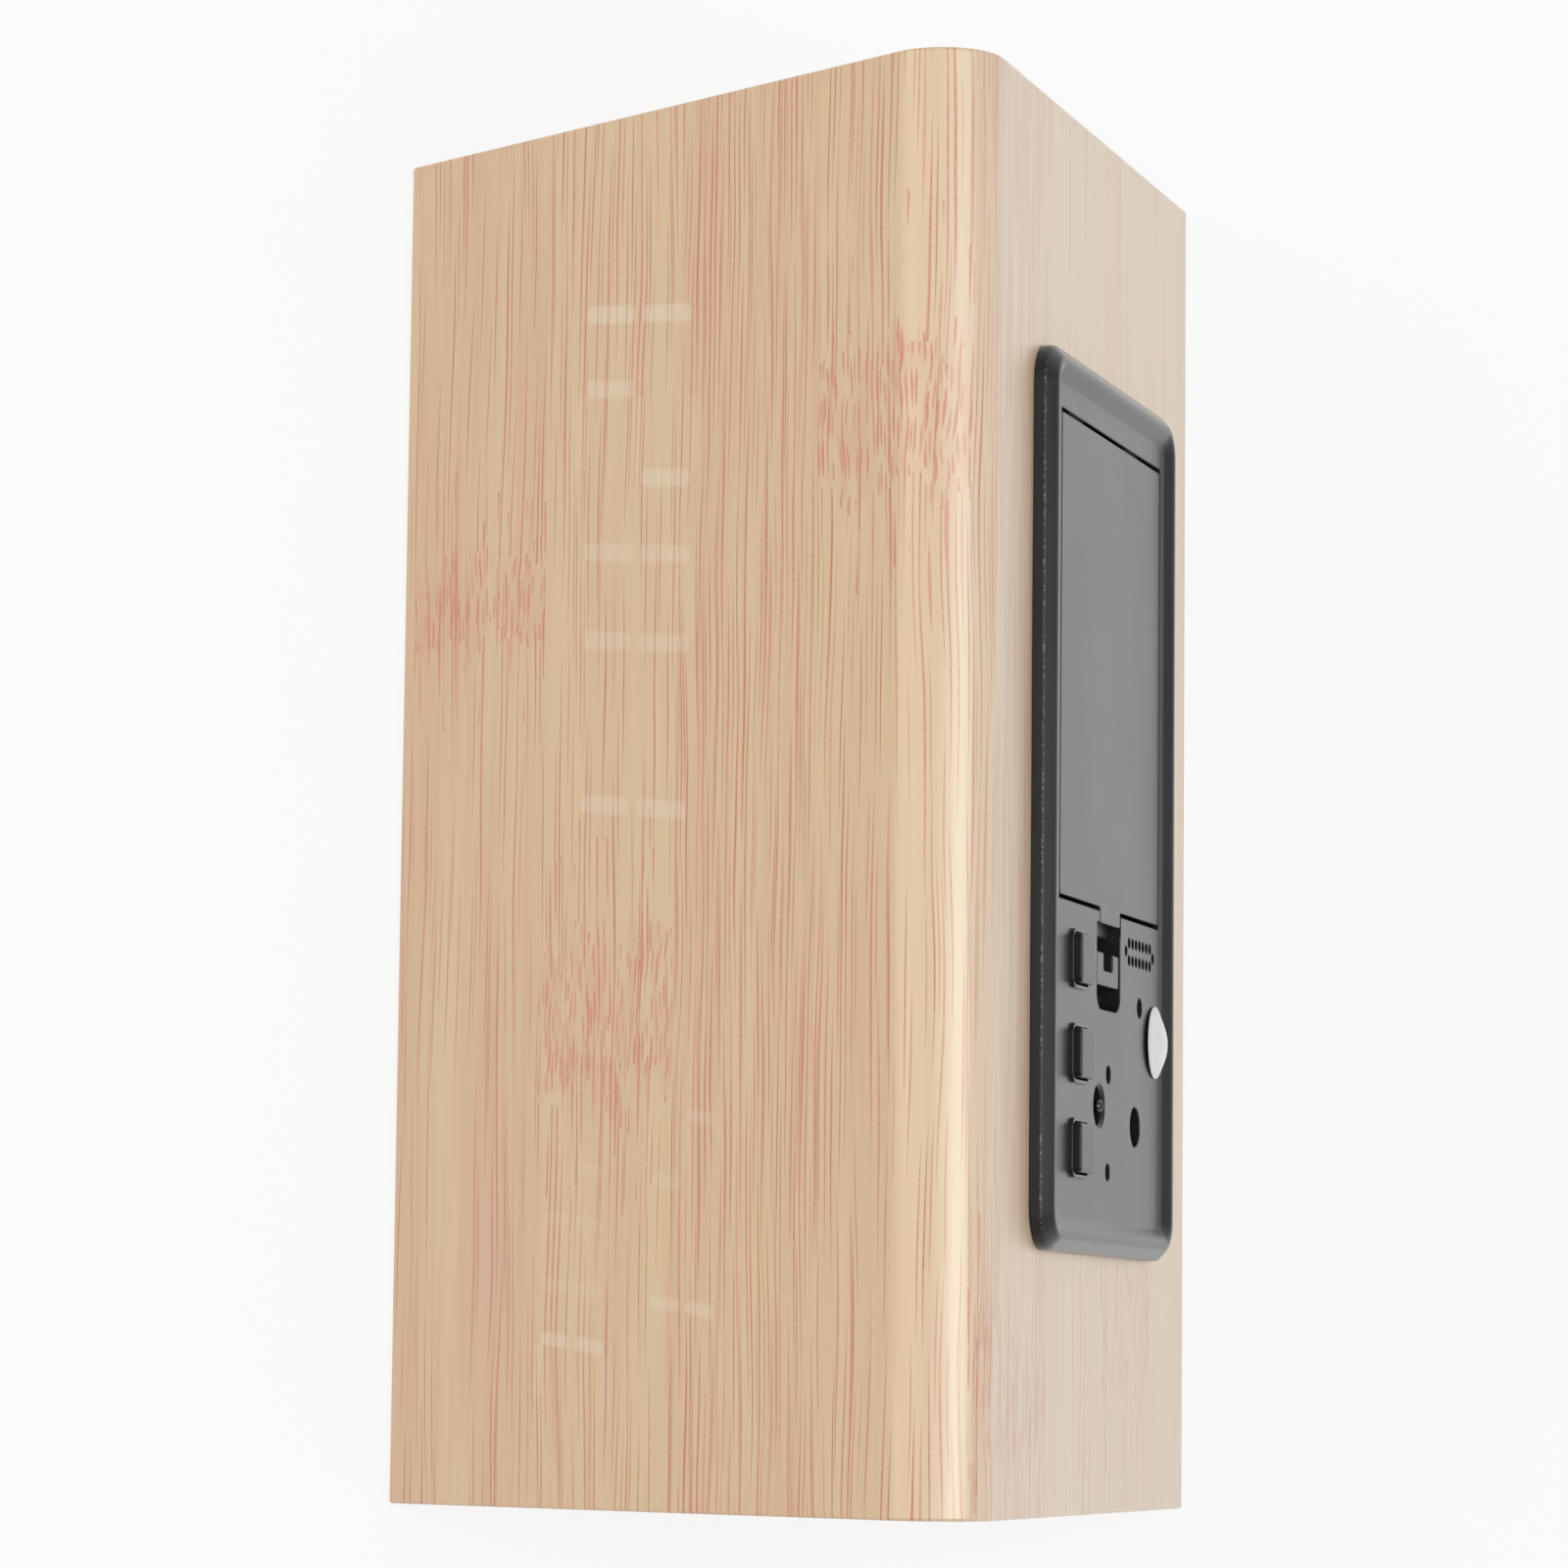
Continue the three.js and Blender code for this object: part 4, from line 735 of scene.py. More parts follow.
def verts_in(geometry):
    return [item for item in geometry if isinstance(item, BMVert)]


def round_edges(bm, edges, radius, steps):
    bmesh.ops.bevel(
        bm, geom=edges, offset=radius, affect="EDGES", segments=steps, profile=0.5, material=-1
    )


def slice_at(bm, spot, direction):
    """Gives a mesh new edges where a plane goes through it."""
    geometry = bm.verts[:] + bm.edges[:] + bm.faces[:]
    bmesh.ops.bisect_plane(bm, geom=geometry, plane_co=spot, plane_no=direction)


print("points nearer than", NEAR, "mm count as one")

# %% [markdown]
# ## Film
# The film is one sheet that is bent over the ridge. Bevelling the top edge of a prism would be quick, but a
# bevel of so sharp a corner is no true arc. So the outline across the clock is drawn as a line: its tip
# is spun about each edge's centre and moved along each face. The line is drawn out along the clock, the
# panel's opening is cut, and the sheet gets its thickness. Its ends are rounded last, to catch the light.

# %% A line that grows
class Outline:
    """A line in the plane across the clock that grows at its tip."""

    def __init__(self, x, y, z):
        self.bm = bmesh.new()
        self.x = x
        self.tip = self.bm.verts.new((x, y, z))

    def move(self, y, z):
        self.tip = bmesh.ops.extrude_vert_indiv(self.bm, verts=[self.tip])["verts"][0]
        self.tip.co = (self.x, y, z)

    def turn(self, y, z, angle, steps):
        """Spins the tip about a centre, by an angle in degrees."""
        made = bmesh.ops.spin(
            self.bm, geom=[self.tip], cent=(self.x, y, z), axis=(1, 0, 0), angle=radians(angle), steps=steps
        )
        self.tip = verts_in(made["geom_last"])[0]


print("outline helper ready")

# %% Draw the outline across the clock
EDGE_TURN = 60
EDGE_STEPS = 6
RIDGE_TURN = 120
RIDGE_STEPS = 32
edge_y = (SHARP_HEIGHT * cos(LEAN) - BASE_EDGE_RADIUS * (1 + cos(LEAN))) / sin(LEAN)
SIDE_Y = cos(radians(30))
SIDE_Z = sin(radians(30))


def over_the_ridge(outline, inset):
    """Continues an outline from a base edge's mitre over the ridge to the other mitre."""
    ridge = RIDGE_RADIUS - inset
    edge = BASE_EDGE_RADIUS - inset
    outline.turn(edge_y, BASE_EDGE_RADIUS, EDGE_TURN, EDGE_STEPS)
    outline.move(ridge * SIDE_Y, RIDGE_CENTRE + ridge * SIDE_Z)
    outline.turn(0, RIDGE_CENTRE, RIDGE_TURN, RIDGE_STEPS)
    outline.move(-edge_y - edge * SIDE_Y, BASE_EDGE_RADIUS + edge * SIDE_Z)
    outline.turn(-edge_y, BASE_EDGE_RADIUS, EDGE_TURN, EDGE_STEPS)


film_line = Outline(-CLOCK_LENGTH / 2, edge_y + BASE_EDGE_RADIUS * SIDE_Y, BASE_EDGE_RADIUS * (1 - SIDE_Z))
over_the_ridge(film_line, 0)
print("points in the film's outline:", len(film_line.bm.verts))

# %% Draw the sheet out and cut the panel's opening
OPENING_LENGTH = 90.4
OPENING_WIDTH = 49.4
OPENING_SHIFT = -0.2


def is_in_opening(face):
    """Whether a face of the sheet lies in the panel's opening."""
    spot = BACK.inverted() @ (face.calc_center_median() * MM)
    beside = abs(spot.x - OPENING_SHIFT) < OPENING_LENGTH / 2
    return beside and abs(spot.y) < OPENING_WIDTH / 2 and abs(spot.z) < 1


sheet = film_line.bm
drawn = bmesh.ops.extrude_edge_only(sheet, edges=sheet.edges[:])["geom"]
bmesh.ops.translate(sheet, vec=(CLOCK_LENGTH, 0, 0), verts=verts_in(drawn))
back_turn = BACK.to_3x3().normalized()
opening_middle = BACK @ Vector((OPENING_SHIFT, 0, 0)) / MM
for reach in (Vector((OPENING_LENGTH / 2, 0, 0)), Vector((0, OPENING_WIDTH / 2, 0))):
    for side in (-1, 1):
        edge = back_turn @ reach * side
        slice_at(sheet, opening_middle + edge, edge)
opened = [face for face in sheet.faces if is_in_opening(face)]
bmesh.ops.delete(sheet, geom=opened, context="FACES")
print("faces cut from the opening:", len(opened))

# %% Thicken the sheet and round its ends
END_ROUNDING = 0.36
outside = {vert.co.to_tuple(3) for vert in sheet.verts}
bmesh.ops.recalc_face_normals(sheet, faces=sheet.faces)
bmesh.ops.solidify(sheet, geom=sheet.faces[:], thickness=FILM)


def is_outer_end(edge):
    """Whether an edge of the thick sheet is one of the outer edges at the clock's ends."""
    at_end = all(abs(abs(vert.co.x) - CLOCK_LENGTH / 2) < NEAR for vert in edge.verts)
    return at_end and all(vert.co.to_tuple(3) in outside for vert in edge.verts)


ends = [edge for edge in sheet.edges if is_outer_end(edge)]
round_edges(sheet, ends, END_ROUNDING, 4)
print("rounded edges at the ends:", len(ends))

# %% Lay the print on the sheet
def sheet_distance(spot):
    """Distance across the sheet from the ridge, positive on the front."""
    angle = atan2(abs(spot.y), spot.z - RIDGE_CENTRE)
    if angle <= LEAN + NEAR:
        distance = RIDGE_RADIUS * angle
    else:
        distance = RIDGE_RADIUS * LEAN + (RIDGE_CENTRE + RIDGE_RADIUS * SIDE_Z - spot.z) / sin(LEAN)
    return -distance if spot.y > 0 else distance


chart = sheet.loops.layers.uv.new("film")
for face in sheet.faces:
    for loop in face.loops:
        spot = loop.vert.co
        loop[chart].uv = (spot.x / CHART_UNIT, sheet_distance(spot) / CHART_UNIT)
film = make_piece(sheet, "bamboo_wrap", UPRIGHT, film_finish)
settle(film, "case", "wood_film", "wood_wrap")

# %% [markdown]
# ## End boards
# Each end is closed by a triangular board that the film is wrapped around, with a fine seam where they meet.
# The same outline, set in by the film's thickness, is filled and drawn out, and its outer edge is eased.

# %% End boards
END_THICKNESS = 5
SEAM = 0.02
END_EASE = 0.12


def make_end(name, node, side):
    outer = side * CLOCK_LENGTH / 2
    inset = FILM + SEAM
    inner_edge = BASE_EDGE_RADIUS - inset
    outline = Outline(outer, edge_y, 0)
    outline.turn(edge_y, BASE_EDGE_RADIUS, EDGE_TURN, EDGE_STEPS)
    outline.move(edge_y + inner_edge * SIDE_Y, BASE_EDGE_RADIUS - inner_edge * SIDE_Z)
    over_the_ridge(outline, inset)
    outline.move(-edge_y - BASE_EDGE_RADIUS * SIDE_Y, BASE_EDGE_RADIUS * (1 - SIDE_Z))
    outline.turn(-edge_y, BASE_EDGE_RADIUS, EDGE_TURN, EDGE_STEPS)
    bm = outline.bm
    bmesh.ops.contextual_create(bm, geom=bm.verts[:])
    drawn = bmesh.ops.extrude_face_region(bm, geom=bm.faces[:])["geom"]
    bmesh.ops.translate(bm, vec=(-side * END_THICKNESS, 0, 0), verts=verts_in(drawn))
    rim = [edge for edge in bm.edges if all(abs(vert.co.x - outer) < NEAR for vert in edge.verts)]
    round_edges(bm, rim, END_EASE, 3)
    loose = [edge for edge in bm.edges if not edge.link_faces]
    bmesh.ops.delete(bm, geom=loose, context="EDGES")
    settle(make_piece(bm, name, UPRIGHT, end_finish), "case", "wood_film", node)


make_end("end_board_left", "left_end_cap", -1)
make_end("end_board_right", "right_end_cap", 1)

# %% [markdown]
# ## Solids for the panel
# The panel's pieces are stacks: a flat outline is drawn up, stepped in, drawn up again, and its edges are
# rounded. A few helpers do that. Solids are then joined and cut with exact Booleans, because a moulding
# with so many openings would be slow to draw face by face. A cutting solid flares at its mouth, so that
# each hole gets the small rounding that a mould leaves.

# %% Flat outlines
def flat_outline(corners, z):
    """A flat face through a few corners."""
    bm = bmesh.new()
    return bm, bm.faces.new([bm.verts.new((x, y, z)) for x, y in corners])


def round_corners(bm, verts, radius, steps=6):
    """Rounds corners of a flat outline and gives back its face."""
    bmesh.ops.bevel(
        bm, geom=verts, offset=radius, affect="VERTICES", segments=steps, profile=0.5, material=-1
    )
    return max(bm.faces, key=BMFace.calc_area)


def rectangle(x_low, x_high, y_low, y_high, z, corner=0.0, only=None):
    """A flat rectangle with rounded corners, or with only some of them rounded."""
    bm, face = flat_outline([(x_low, y_low), (x_high, y_low), (x_high, y_high), (x_low, y_high)], z)
    chosen = [v for v in bm.verts if only is None or only(v.co)]
    if corner:
        face = round_corners(bm, chosen, corner)
    return bm, face


def centred(x, y, length, width, z, corner=0.0):
    return rectangle(x - length / 2, x + length / 2, y - width / 2, y + width / 2, z, corner)


def disc(x, y, radius, z, segments=40):
    bm = bmesh.new()
    made = bmesh.ops.create_circle(bm, cap_ends=True, segments=segments, radius=radius)
    bmesh.ops.translate(bm, vec=(x, y, z), verts=made["verts"])
    return bm, bm.faces[:][0]


print("outline helpers ready")

# %% Stacks and roundings
LEAST_TURN = 0.3


def draw_out(bm, face, rise):
    """Draws a flat face up or down and gives back the moved face."""
    starts_solid = len(face.edges[0].link_faces) == 1
    made = bmesh.ops.extrude_face_region(bm, geom=[face])["geom"]
    bmesh.ops.translate(bm, vec=(0, 0, rise), verts=verts_in(made))
    if not starts_solid:
        bmesh.ops.delete(bm, geom=[face], context="FACES_ONLY")
    return next(item for item in made if isinstance(item, BMFace))


def step_in(bm, face, inset, rise):
    """Shrinks a flat face all round and moves it up or down, with a slope between."""
    bmesh.ops.inset_region(bm, faces=[face], thickness=inset, use_even_offset=True)
    bmesh.ops.translate(bm, vec=(0, 0, rise), verts=face.verts[:])
    return face


def round_level(bm, z, radius, steps=3):
    """Rounds the edges that lie at one level and turn there."""
    bm.normal_update()
    level = [edge for edge in bm.edges if all(abs(vert.co.z - z) < NEAR for vert in edge.verts)]
    solid = [edge for edge in level if len(edge.link_faces) == 2]
    round_edges(bm, [edge for edge in solid if edge.calc_face_angle() > LEAST_TURN], radius, steps)


def block(outline, rise, rounding=0.0):
    """Draws an outline out to a block, with its far edges rounded."""
    bm, face = outline
    top = draw_out(bm, face, rise)
    if rounding:
        round_level(bm, top.verts[0].co.z, rounding)
    return bm


print("stacking helpers ready")

# %% Joining and cutting
def as_solid(bm, group):
    """Puts a bmesh into the scene as a plain object, for a Boolean."""
    bmesh.ops.recalc_face_normals(bm, faces=bm.faces)
    mesh = bpy.data.meshes.new("solid")
    bm.to_mesh(mesh)
    bm.free()
    made = bpy.data.objects.new("solid", mesh)
    group.objects.link(made)
    return made


def combine(operation, body, others):
    """Joins solids to a body, or cuts them out of it, and gives back one bmesh."""
    group = bpy.data.collections.new("solids")
    scene.collection.children.link(group)
    for other in others:
        as_solid(other, group)
    worked = as_solid(body, scene.collection)
    boolean = worked.modifiers.new("boolean", "BOOLEAN")
    boolean.operation = operation
    boolean.solver = "EXACT"
    boolean.operand_type = "COLLECTION"
    boolean.collection = group
    result = bmesh.new()
    result.from_object(worked, bpy.context.evaluated_depsgraph_get())
    for solid in [worked, *group.objects]:
        bpy.data.meshes.remove(solid.data)
    bpy.data.collections.remove(group)
    return result


print("Boolean helper ready")

# %% [markdown]
# ## Back panel
# The panel is the most elaborate moulding of the clock. Its outside is a stack: a low wall on the wood, a
# broad bevel, a narrow crest, and a slope down to a sunken floor. Under the floor hang a skirt that fills the
# opening, the battery compartment, the latch's pocket and a post around the deep screw hole.

# %% Rim and floor
PANEL_X = -0.2
FLOOR_LENGTH = 88.2
FLOOR_WIDTH = 47.2
FLOOR_CORNER = 1.0
INNER_SLOPE = 1.4
CREST = 0.8
OUTER_BEVEL = 1.3
OUTER_RISE = 1.15
RIM_TOP = 2.4
FLOOR_TOP = 1.4
FLOOR_UNDER = -0.6
FOOT = 0.04
CREST_ROUNDING = 0.28
WALL_ROUNDING = 0.2
FLOOR_ROUNDING = 0.3
rim_width = INNER_SLOPE + CREST + OUTER_BEVEL
foot_corner = FLOOR_CORNER + rim_width
foot_length = FLOOR_LENGTH + 2 * rim_width
foot_width = FLOOR_WIDTH + 2 * rim_width
tray, top = centred(PANEL_X, 0, foot_length, foot_width, FOOT, foot_corner)
top = draw_out(tray, top, RIM_TOP - OUTER_RISE - FOOT)
top = step_in(tray, top, OUTER_BEVEL, OUTER_RISE)
top = step_in(tray, top, CREST, 0)
top = step_in(tray, top, INNER_SLOPE, FLOOR_TOP - RIM_TOP)
round_level(tray, RIM_TOP, CREST_ROUNDING)
round_level(tray, RIM_TOP - OUTER_RISE, WALL_ROUNDING)
round_level(tray, FLOOR_TOP, FLOOR_ROUNDING)
print("rim and floor have", len(tray.faces), "faces")

# %% Worn edge of the rim, with a painted highlight
WEAR_AND_GLINT_LEVEL = RIM_TOP - OUTER_RISE
WEAR_AND_GLINT_BAND = (0.02, 0.16)
SPECKS = (0.5, 0.66)


def on_panel(place, axis):
    """A coordinate of the panel's own frame, in millimetres."""
    inputs = {0: place, 1: axis}
    distance = place.node("ShaderNodeVectorMath", {"operation": "DOT_PRODUCT"}, inputs, output="Value")
    return (distance - axis.dot(BACK.translation)) / MM


def rim_wear_and_glint(place):
    """1 on the pale specks along the edge between the rim's wall and its bevel: partly worn, partly a painted
    highlight of its glint.
    """
    along, down, out = [on_panel(place, axis) for axis in back_turn.col]
    beside = abs(along - PANEL_X) - FLOOR_LENGTH / 2
    outward = beside.math("MAXIMUM", beside, abs(down) - FLOOR_WIDTH / 2)
    beyond_crest = smooth(outward, INNER_SLOPE + CREST, rim_width)
    line = 1 - smooth(abs(out - WEAR_AND_GLINT_LEVEL), *WEAR_AND_GLINT_BAND)
    return line * beyond_crest * smooth(noise(place, scale=2600), *SPECKS)


# The panel's pale edge specks are partly worn plastic and partly a painted highlight.
panel_plastic = make_plastic("worn_and_glinting_moulding", PANEL_BLACK, PANEL_ROUGHNESS, skin=1.0, wear_and_glint=rim_wear_and_glint)
print("worn edge lies", round(WEAR_AND_GLINT_LEVEL, 2), "mm above the film")

# %% Skirt
SKIRT_GAP = 0.3
SKIRT_WALL = 2.2
SKIRT_DEPTH = 4.4
SKIRT_CORNER = 2.7
HOLLOW_CORNER = 0.5
# Solids that are to be joined reach this far into each other.
OVERLAP = 0.5
skirt_length = OPENING_LENGTH - 2 * SKIRT_GAP
skirt_width = OPENING_WIDTH - 2 * SKIRT_GAP
skirt = centred(PANEL_X, 0, skirt_length, skirt_width, -SKIRT_DEPTH, SKIRT_CORNER)
skirt = block(skirt, SKIRT_DEPTH + OVERLAP)
hollow_length = skirt_length - 2 * SKIRT_WALL
hollow_width = skirt_width - 2 * SKIRT_WALL
hollow_bottom = -SKIRT_DEPTH - 1
hollow = centred(PANEL_X, 0, hollow_length, hollow_width, hollow_bottom, HOLLOW_CORNER)
hollow = block(hollow, FLOOR_UNDER - hollow_bottom)
panel = combine("UNION", tray, [skirt])
panel = combine("DIFFERENCE", panel, [hollow])
print("with its skirt:", len(panel.faces), "faces")

# %% Compartment, pocket, post and collars
# A rectangle on the panel is its lowest and highest x, and its lowest and highest y.
CELLS = (-41.65, 10.45, -20.825, 22.325)
CELLS_BOTTOM = -11.6
POCKET = (11.65, 21.0, -4.9, 5.2)
POCKET_CORNER = 2.0
POCKET_DEPTH = 8.0
WALL = 1.2
INSIDE_FLOOR = (FLOOR_TOP + FLOOR_UNDER) / 2
BUTTONS = {"set": 16.39, "up": 26.39, "down": 36.39}
BUTTON_ROW = -12.7
BUTTON_LENGTH = 5.2
BUTTON_WIDTH = 5.7
BUTTON_CORNER = 0.6
BUTTON_GAP = 0.22
COLLAR_WALL = 0.35
COLLAR_RISE = 0.4
COLLAR_ROUNDING = 0.14
SCREW_SPOT = (33.0, 11.99)
POST_RADIUS = 3.3
POST_BOTTOM = -7.3


def walled(x_low, x_high, y_low, y_high, wall, bottom):
    """A block that leaves a wall around a pocket and reaches into the floor."""
    outline = rectangle(x_low - wall, x_high + wall, y_low - wall, y_high + wall, bottom)
    return block(outline, INSIDE_FLOOR - bottom)


def button_outline(x, spread, z):
    corner = BUTTON_CORNER + spread
    return centred(x, BUTTON_ROW, BUTTON_LENGTH + 2 * spread, BUTTON_WIDTH + 2 * spread, z, corner)


additions = [
    walled(*CELLS, WALL, CELLS_BOTTOM - WALL),
    walled(*POCKET, WALL, FLOOR_TOP - POCKET_DEPTH),
    block(disc(*SCREW_SPOT, POST_RADIUS, POST_BOTTOM), INSIDE_FLOOR - POST_BOTTOM),
]
for x in BUTTONS.values():
    collar = button_outline(x, BUTTON_GAP + COLLAR_WALL, INSIDE_FLOOR)
    additions.append(block(collar, FLOOR_TOP + COLLAR_RISE - INSIDE_FLOOR, COLLAR_ROUNDING))
panel = combine("UNION", panel, additions)
print("with its pockets and collars:", len(panel.faces), "faces")

# %% What is cut out of the panel
ABOVE = 6.0
MOUTH = 0.12
FLARE_TOP = FLOOR_TOP + 0.02


def well(outline, bottom, mouth=MOUTH):
    """A cutting solid from above the floor to a depth, flared where it meets the floor."""
    bm, face = outline
    face = draw_out(bm, face, FLARE_TOP - ABOVE)
    face = step_in(bm, face, mouth, -mouth)
    draw_out(bm, face, bottom - FLARE_TOP + mouth)
    return bm


def hole(x, y, radius, bottom, mouth=MOUTH):
    return well(disc(x, y, radius + mouth, ABOVE), bottom, mouth)


def mouth_of(x_low, x_high, y_low, y_high, corner=0.0, only=None):
    """Outline of a flared opening, above the floor."""
    return rectangle(x_low - MOUTH, x_high + MOUTH, y_low - MOUTH, y_high + MOUTH, ABOVE, corner, only)


def is_far_corner(spot):
    """Whether a corner of the pocket lies away from the cover."""
    return spot.x > (POCKET[0] + POCKET[1]) / 2


print("an opening flares by", MOUTH, "mm")

# %% Pockets and holes
THROUGH = FLOOR_UNDER - 2
FINGER_DEPTH = 2.2
CATCH_WALL = 19.1
TONGUE_SLOT = (10.0, 12.65, -3.8, 5.4)
TONGUE_SLOT_BOTTOM = -0.7
INLET_SPOT = (31.45, -3.68)
INLET_RADIUS = 2.15
INLET_MOUTH = 0.4
# Place and radius of the three small holes.
MICROPHONE_HOLE = (27.90, 0.28, 1.0)
RESET_HOLE = (38.42, 0.09, 0.95)
SOUND_HOLE = (19.81, 13.88, 1.1)
SCREW_HOLE_RADIUS = 2.2
SCREW_HOLE_BOTTOM = -6.0
SHANK_RADIUS = 1.3
SHANK_BOTTOM = -9
SHANK_TOP = -1
cuts = [
    well(mouth_of(*CELLS), CELLS_BOTTOM),
    well(mouth_of(*POCKET, POCKET_CORNER, is_far_corner), FLOOR_TOP - FINGER_DEPTH),
    block(rectangle(POCKET[0], CATCH_WALL, POCKET[2], POCKET[3], 0), -ABOVE - POCKET_DEPTH),
    block(rectangle(*TONGUE_SLOT, TONGUE_SLOT_BOTTOM), ABOVE),
    hole(*INLET_SPOT, INLET_RADIUS, THROUGH, INLET_MOUTH),
    hole(*MICROPHONE_HOLE, THROUGH),
    hole(*RESET_HOLE, THROUGH),
    hole(*SOUND_HOLE, THROUGH),
    hole(*SCREW_SPOT, SCREW_HOLE_RADIUS, SCREW_HOLE_BOTTOM),
    block(disc(*SCREW_SPOT, SHANK_RADIUS, SHANK_BOTTOM), SHANK_TOP - SHANK_BOTTOM),
]
for x in BUTTONS.values():
    cuts.append(block(button_outline(x, BUTTON_GAP, THROUGH), ABOVE - THROUGH))
print("openings without the vents:", len(cuts))

# %% Vents and hook slots
VENT_SPOT = (13.91, 13.74)
VENT_ROWS = 7
VENT_PITCH = 1.55
VENT_COLUMNS = 1.9
VENT_RADIUS = 0.6
VENT_MOUTH = 0.08
VENT_SIDES = 16
HOOKS = (-11.25, 12.75)
HOOK_SLOT_X = (-2.2, 1.0)
HOOK_SLOT_WIDTH = 7
HOOK_SLOT_BOTTOM = -1.6
HOOK_SLOT_TOP = 0.7
vent_x, vent_y = VENT_SPOT
vents = []
for row in range(VENT_ROWS):
    y = vent_y + (row - (VENT_ROWS - 1) / 2) * VENT_PITCH
    vents += [(vent_x - VENT_COLUMNS / 2, y), (vent_x + VENT_COLUMNS / 2, y)]
end_row = (VENT_ROWS - 1) / 2 * VENT_PITCH + VENT_PITCH * cos(radians(30))
vents += [(vent_x, vent_y - end_row), (vent_x, vent_y + end_row)]
for x, y in vents:
    vent = disc(x, y, VENT_RADIUS + VENT_MOUTH, ABOVE, VENT_SIDES)
    cuts.append(well(vent, THROUGH, VENT_MOUTH))
for y in HOOKS:
    x_low, x_high = [CELLS[0] + reach for reach in HOOK_SLOT_X]
    slot = rectangle(x_low, x_high, y - HOOK_SLOT_WIDTH / 2, y + HOOK_SLOT_WIDTH / 2, HOOK_SLOT_BOTTOM)
    cuts.append(block(slot, HOOK_SLOT_TOP - HOOK_SLOT_BOTTOM))
panel = combine("DIFFERENCE", panel, cuts)
print("openings with the vents:", len(cuts))

# %% Ribs between the cells, and the finished panel
CELL_ROWS = (-15.225, -4.575, 6.075, 16.725)
RIB_WIDTH = 0.8
RIB_HEIGHT = 2.4
RIB_ROUNDING = 0.15
ROOM_FOR_SPRINGS = 10.5
rib_x = (CELLS[0] + CELLS[1]) / 2
rib_length = CELLS[1] - CELLS[0] - ROOM_FOR_SPRINGS
ribs = []
for low, high in zip(CELL_ROWS, CELL_ROWS[1:]):
    rib = centred(rib_x, (low + high) / 2, rib_length, RIB_WIDTH, CELLS_BOTTOM - OVERLAP)
    ribs.append(block(rib, RIB_HEIGHT + OVERLAP, RIB_ROUNDING))
panel = combine("UNION", panel, ribs)
settle(make_piece(panel, "panel_moulding", BACK, panel_plastic), "case", "black_plastic", "back_panel")

# %% [markdown]
# ## Battery cover
# The cover is a flush plate with a tongue at one end, two hooks at the other, and a strip that bends down
# and up again to carry the thumb latch. The plate starts as one outline with the tongue on it, so that its
# rounded edge runs round both without a seam. The strip is a face that is drawn down and spun half round.

# %% Plate and hooks
COVER = (-41.2, 10.0, -20.525, 22.025)
COVER_THICKNESS = 1.8
COVER_CORNER = 0.4
COVER_ROUNDING = 0.18
TONGUE_END = 11.7
TONGUE = (-3.5, 5.1)
HOOK_REACH = 2.2
HOOK_WIDTH = 6
HOOK_THICKNESS = 0.8
HOOK_ROUNDING = 0.15
CORNER_STEPS = 4
cover_under = FLOOR_TOP - COVER_THICKNESS
x_low, x_high, y_low, y_high = COVER
corners = [
    (x_low, y_low), (x_high, y_low), (x_high, TONGUE[0]), (TONGUE_END, TONGUE[0]),
    (TONGUE_END, TONGUE[1]), (x_high, TONGUE[1]), (x_high, y_high), (x_low, y_high),
]
cover, face = flat_outline(corners, cover_under)
face = round_corners(cover, cover.verts[:], COVER_CORNER, CORNER_STEPS)
cover = block((cover, face), COVER_THICKNESS, COVER_ROUNDING)
hooks = []
for y in HOOKS:
    hook = rectangle(x_low - HOOK_REACH, x_low + OVERLAP, y - HOOK_WIDTH / 2, y + HOOK_WIDTH / 2, cover_under)
    hooks.append(block(hook, HOOK_THICKNESS, HOOK_ROUNDING))
print("corners of the plate:", len(corners))

# %% Strip under the tongue
STRIP_X = (12.0, 13.0)
STRIP_Y = (-3.2, 4.8)
STRIP_CENTRE = (15.2, -2.8)
STRIP_STEPS = 14
STRIP_SINK = 0.05
BRIDGE = 0.45
BRIDGE_ROUNDING = 0.4
bridge = block(rectangle(TONGUE_END - OVERLAP, STRIP_X[1], *STRIP_Y, cover_under), BRIDGE)


def is_over_the_bend(vert):
    """Whether a corner of the bridge is one of the upper ones above the strip."""
    return vert.co.x == STRIP_X[1] and vert.co.z > cover_under + BRIDGE / 2


bend_edge = [edge for edge in bridge.edges if all(is_over_the_bend(vert) for vert in edge.verts)]
round_edges(bridge, bend_edge, BRIDGE_ROUNDING, 5)
strip_top = cover_under + STRIP_SINK
strip, face = rectangle(*STRIP_X, *STRIP_Y, strip_top)
face = draw_out(strip, face, STRIP_CENTRE[1] - strip_top)
bend = [face, *face.edges, *face.verts]
centre = (STRIP_CENTRE[0], 0, STRIP_CENTRE[1])
bmesh.ops.spin(strip, geom=bend, cent=centre, axis=(0, 1, 0), angle=-pi, steps=STRIP_STEPS)
cover = combine("UNION", cover, [*hooks, bridge, strip])
settle(make_piece(cover, "cover_plate", BACK, black_plastic), "cover", "black_plastic", "battery_cover")

# %% [markdown]
# ## Thumb latch
# The free end of the strip carries a pad for the thumb, with a notch toward the cover, and a nib that
# catches under the panel. The pad is one outline with the notch in it.

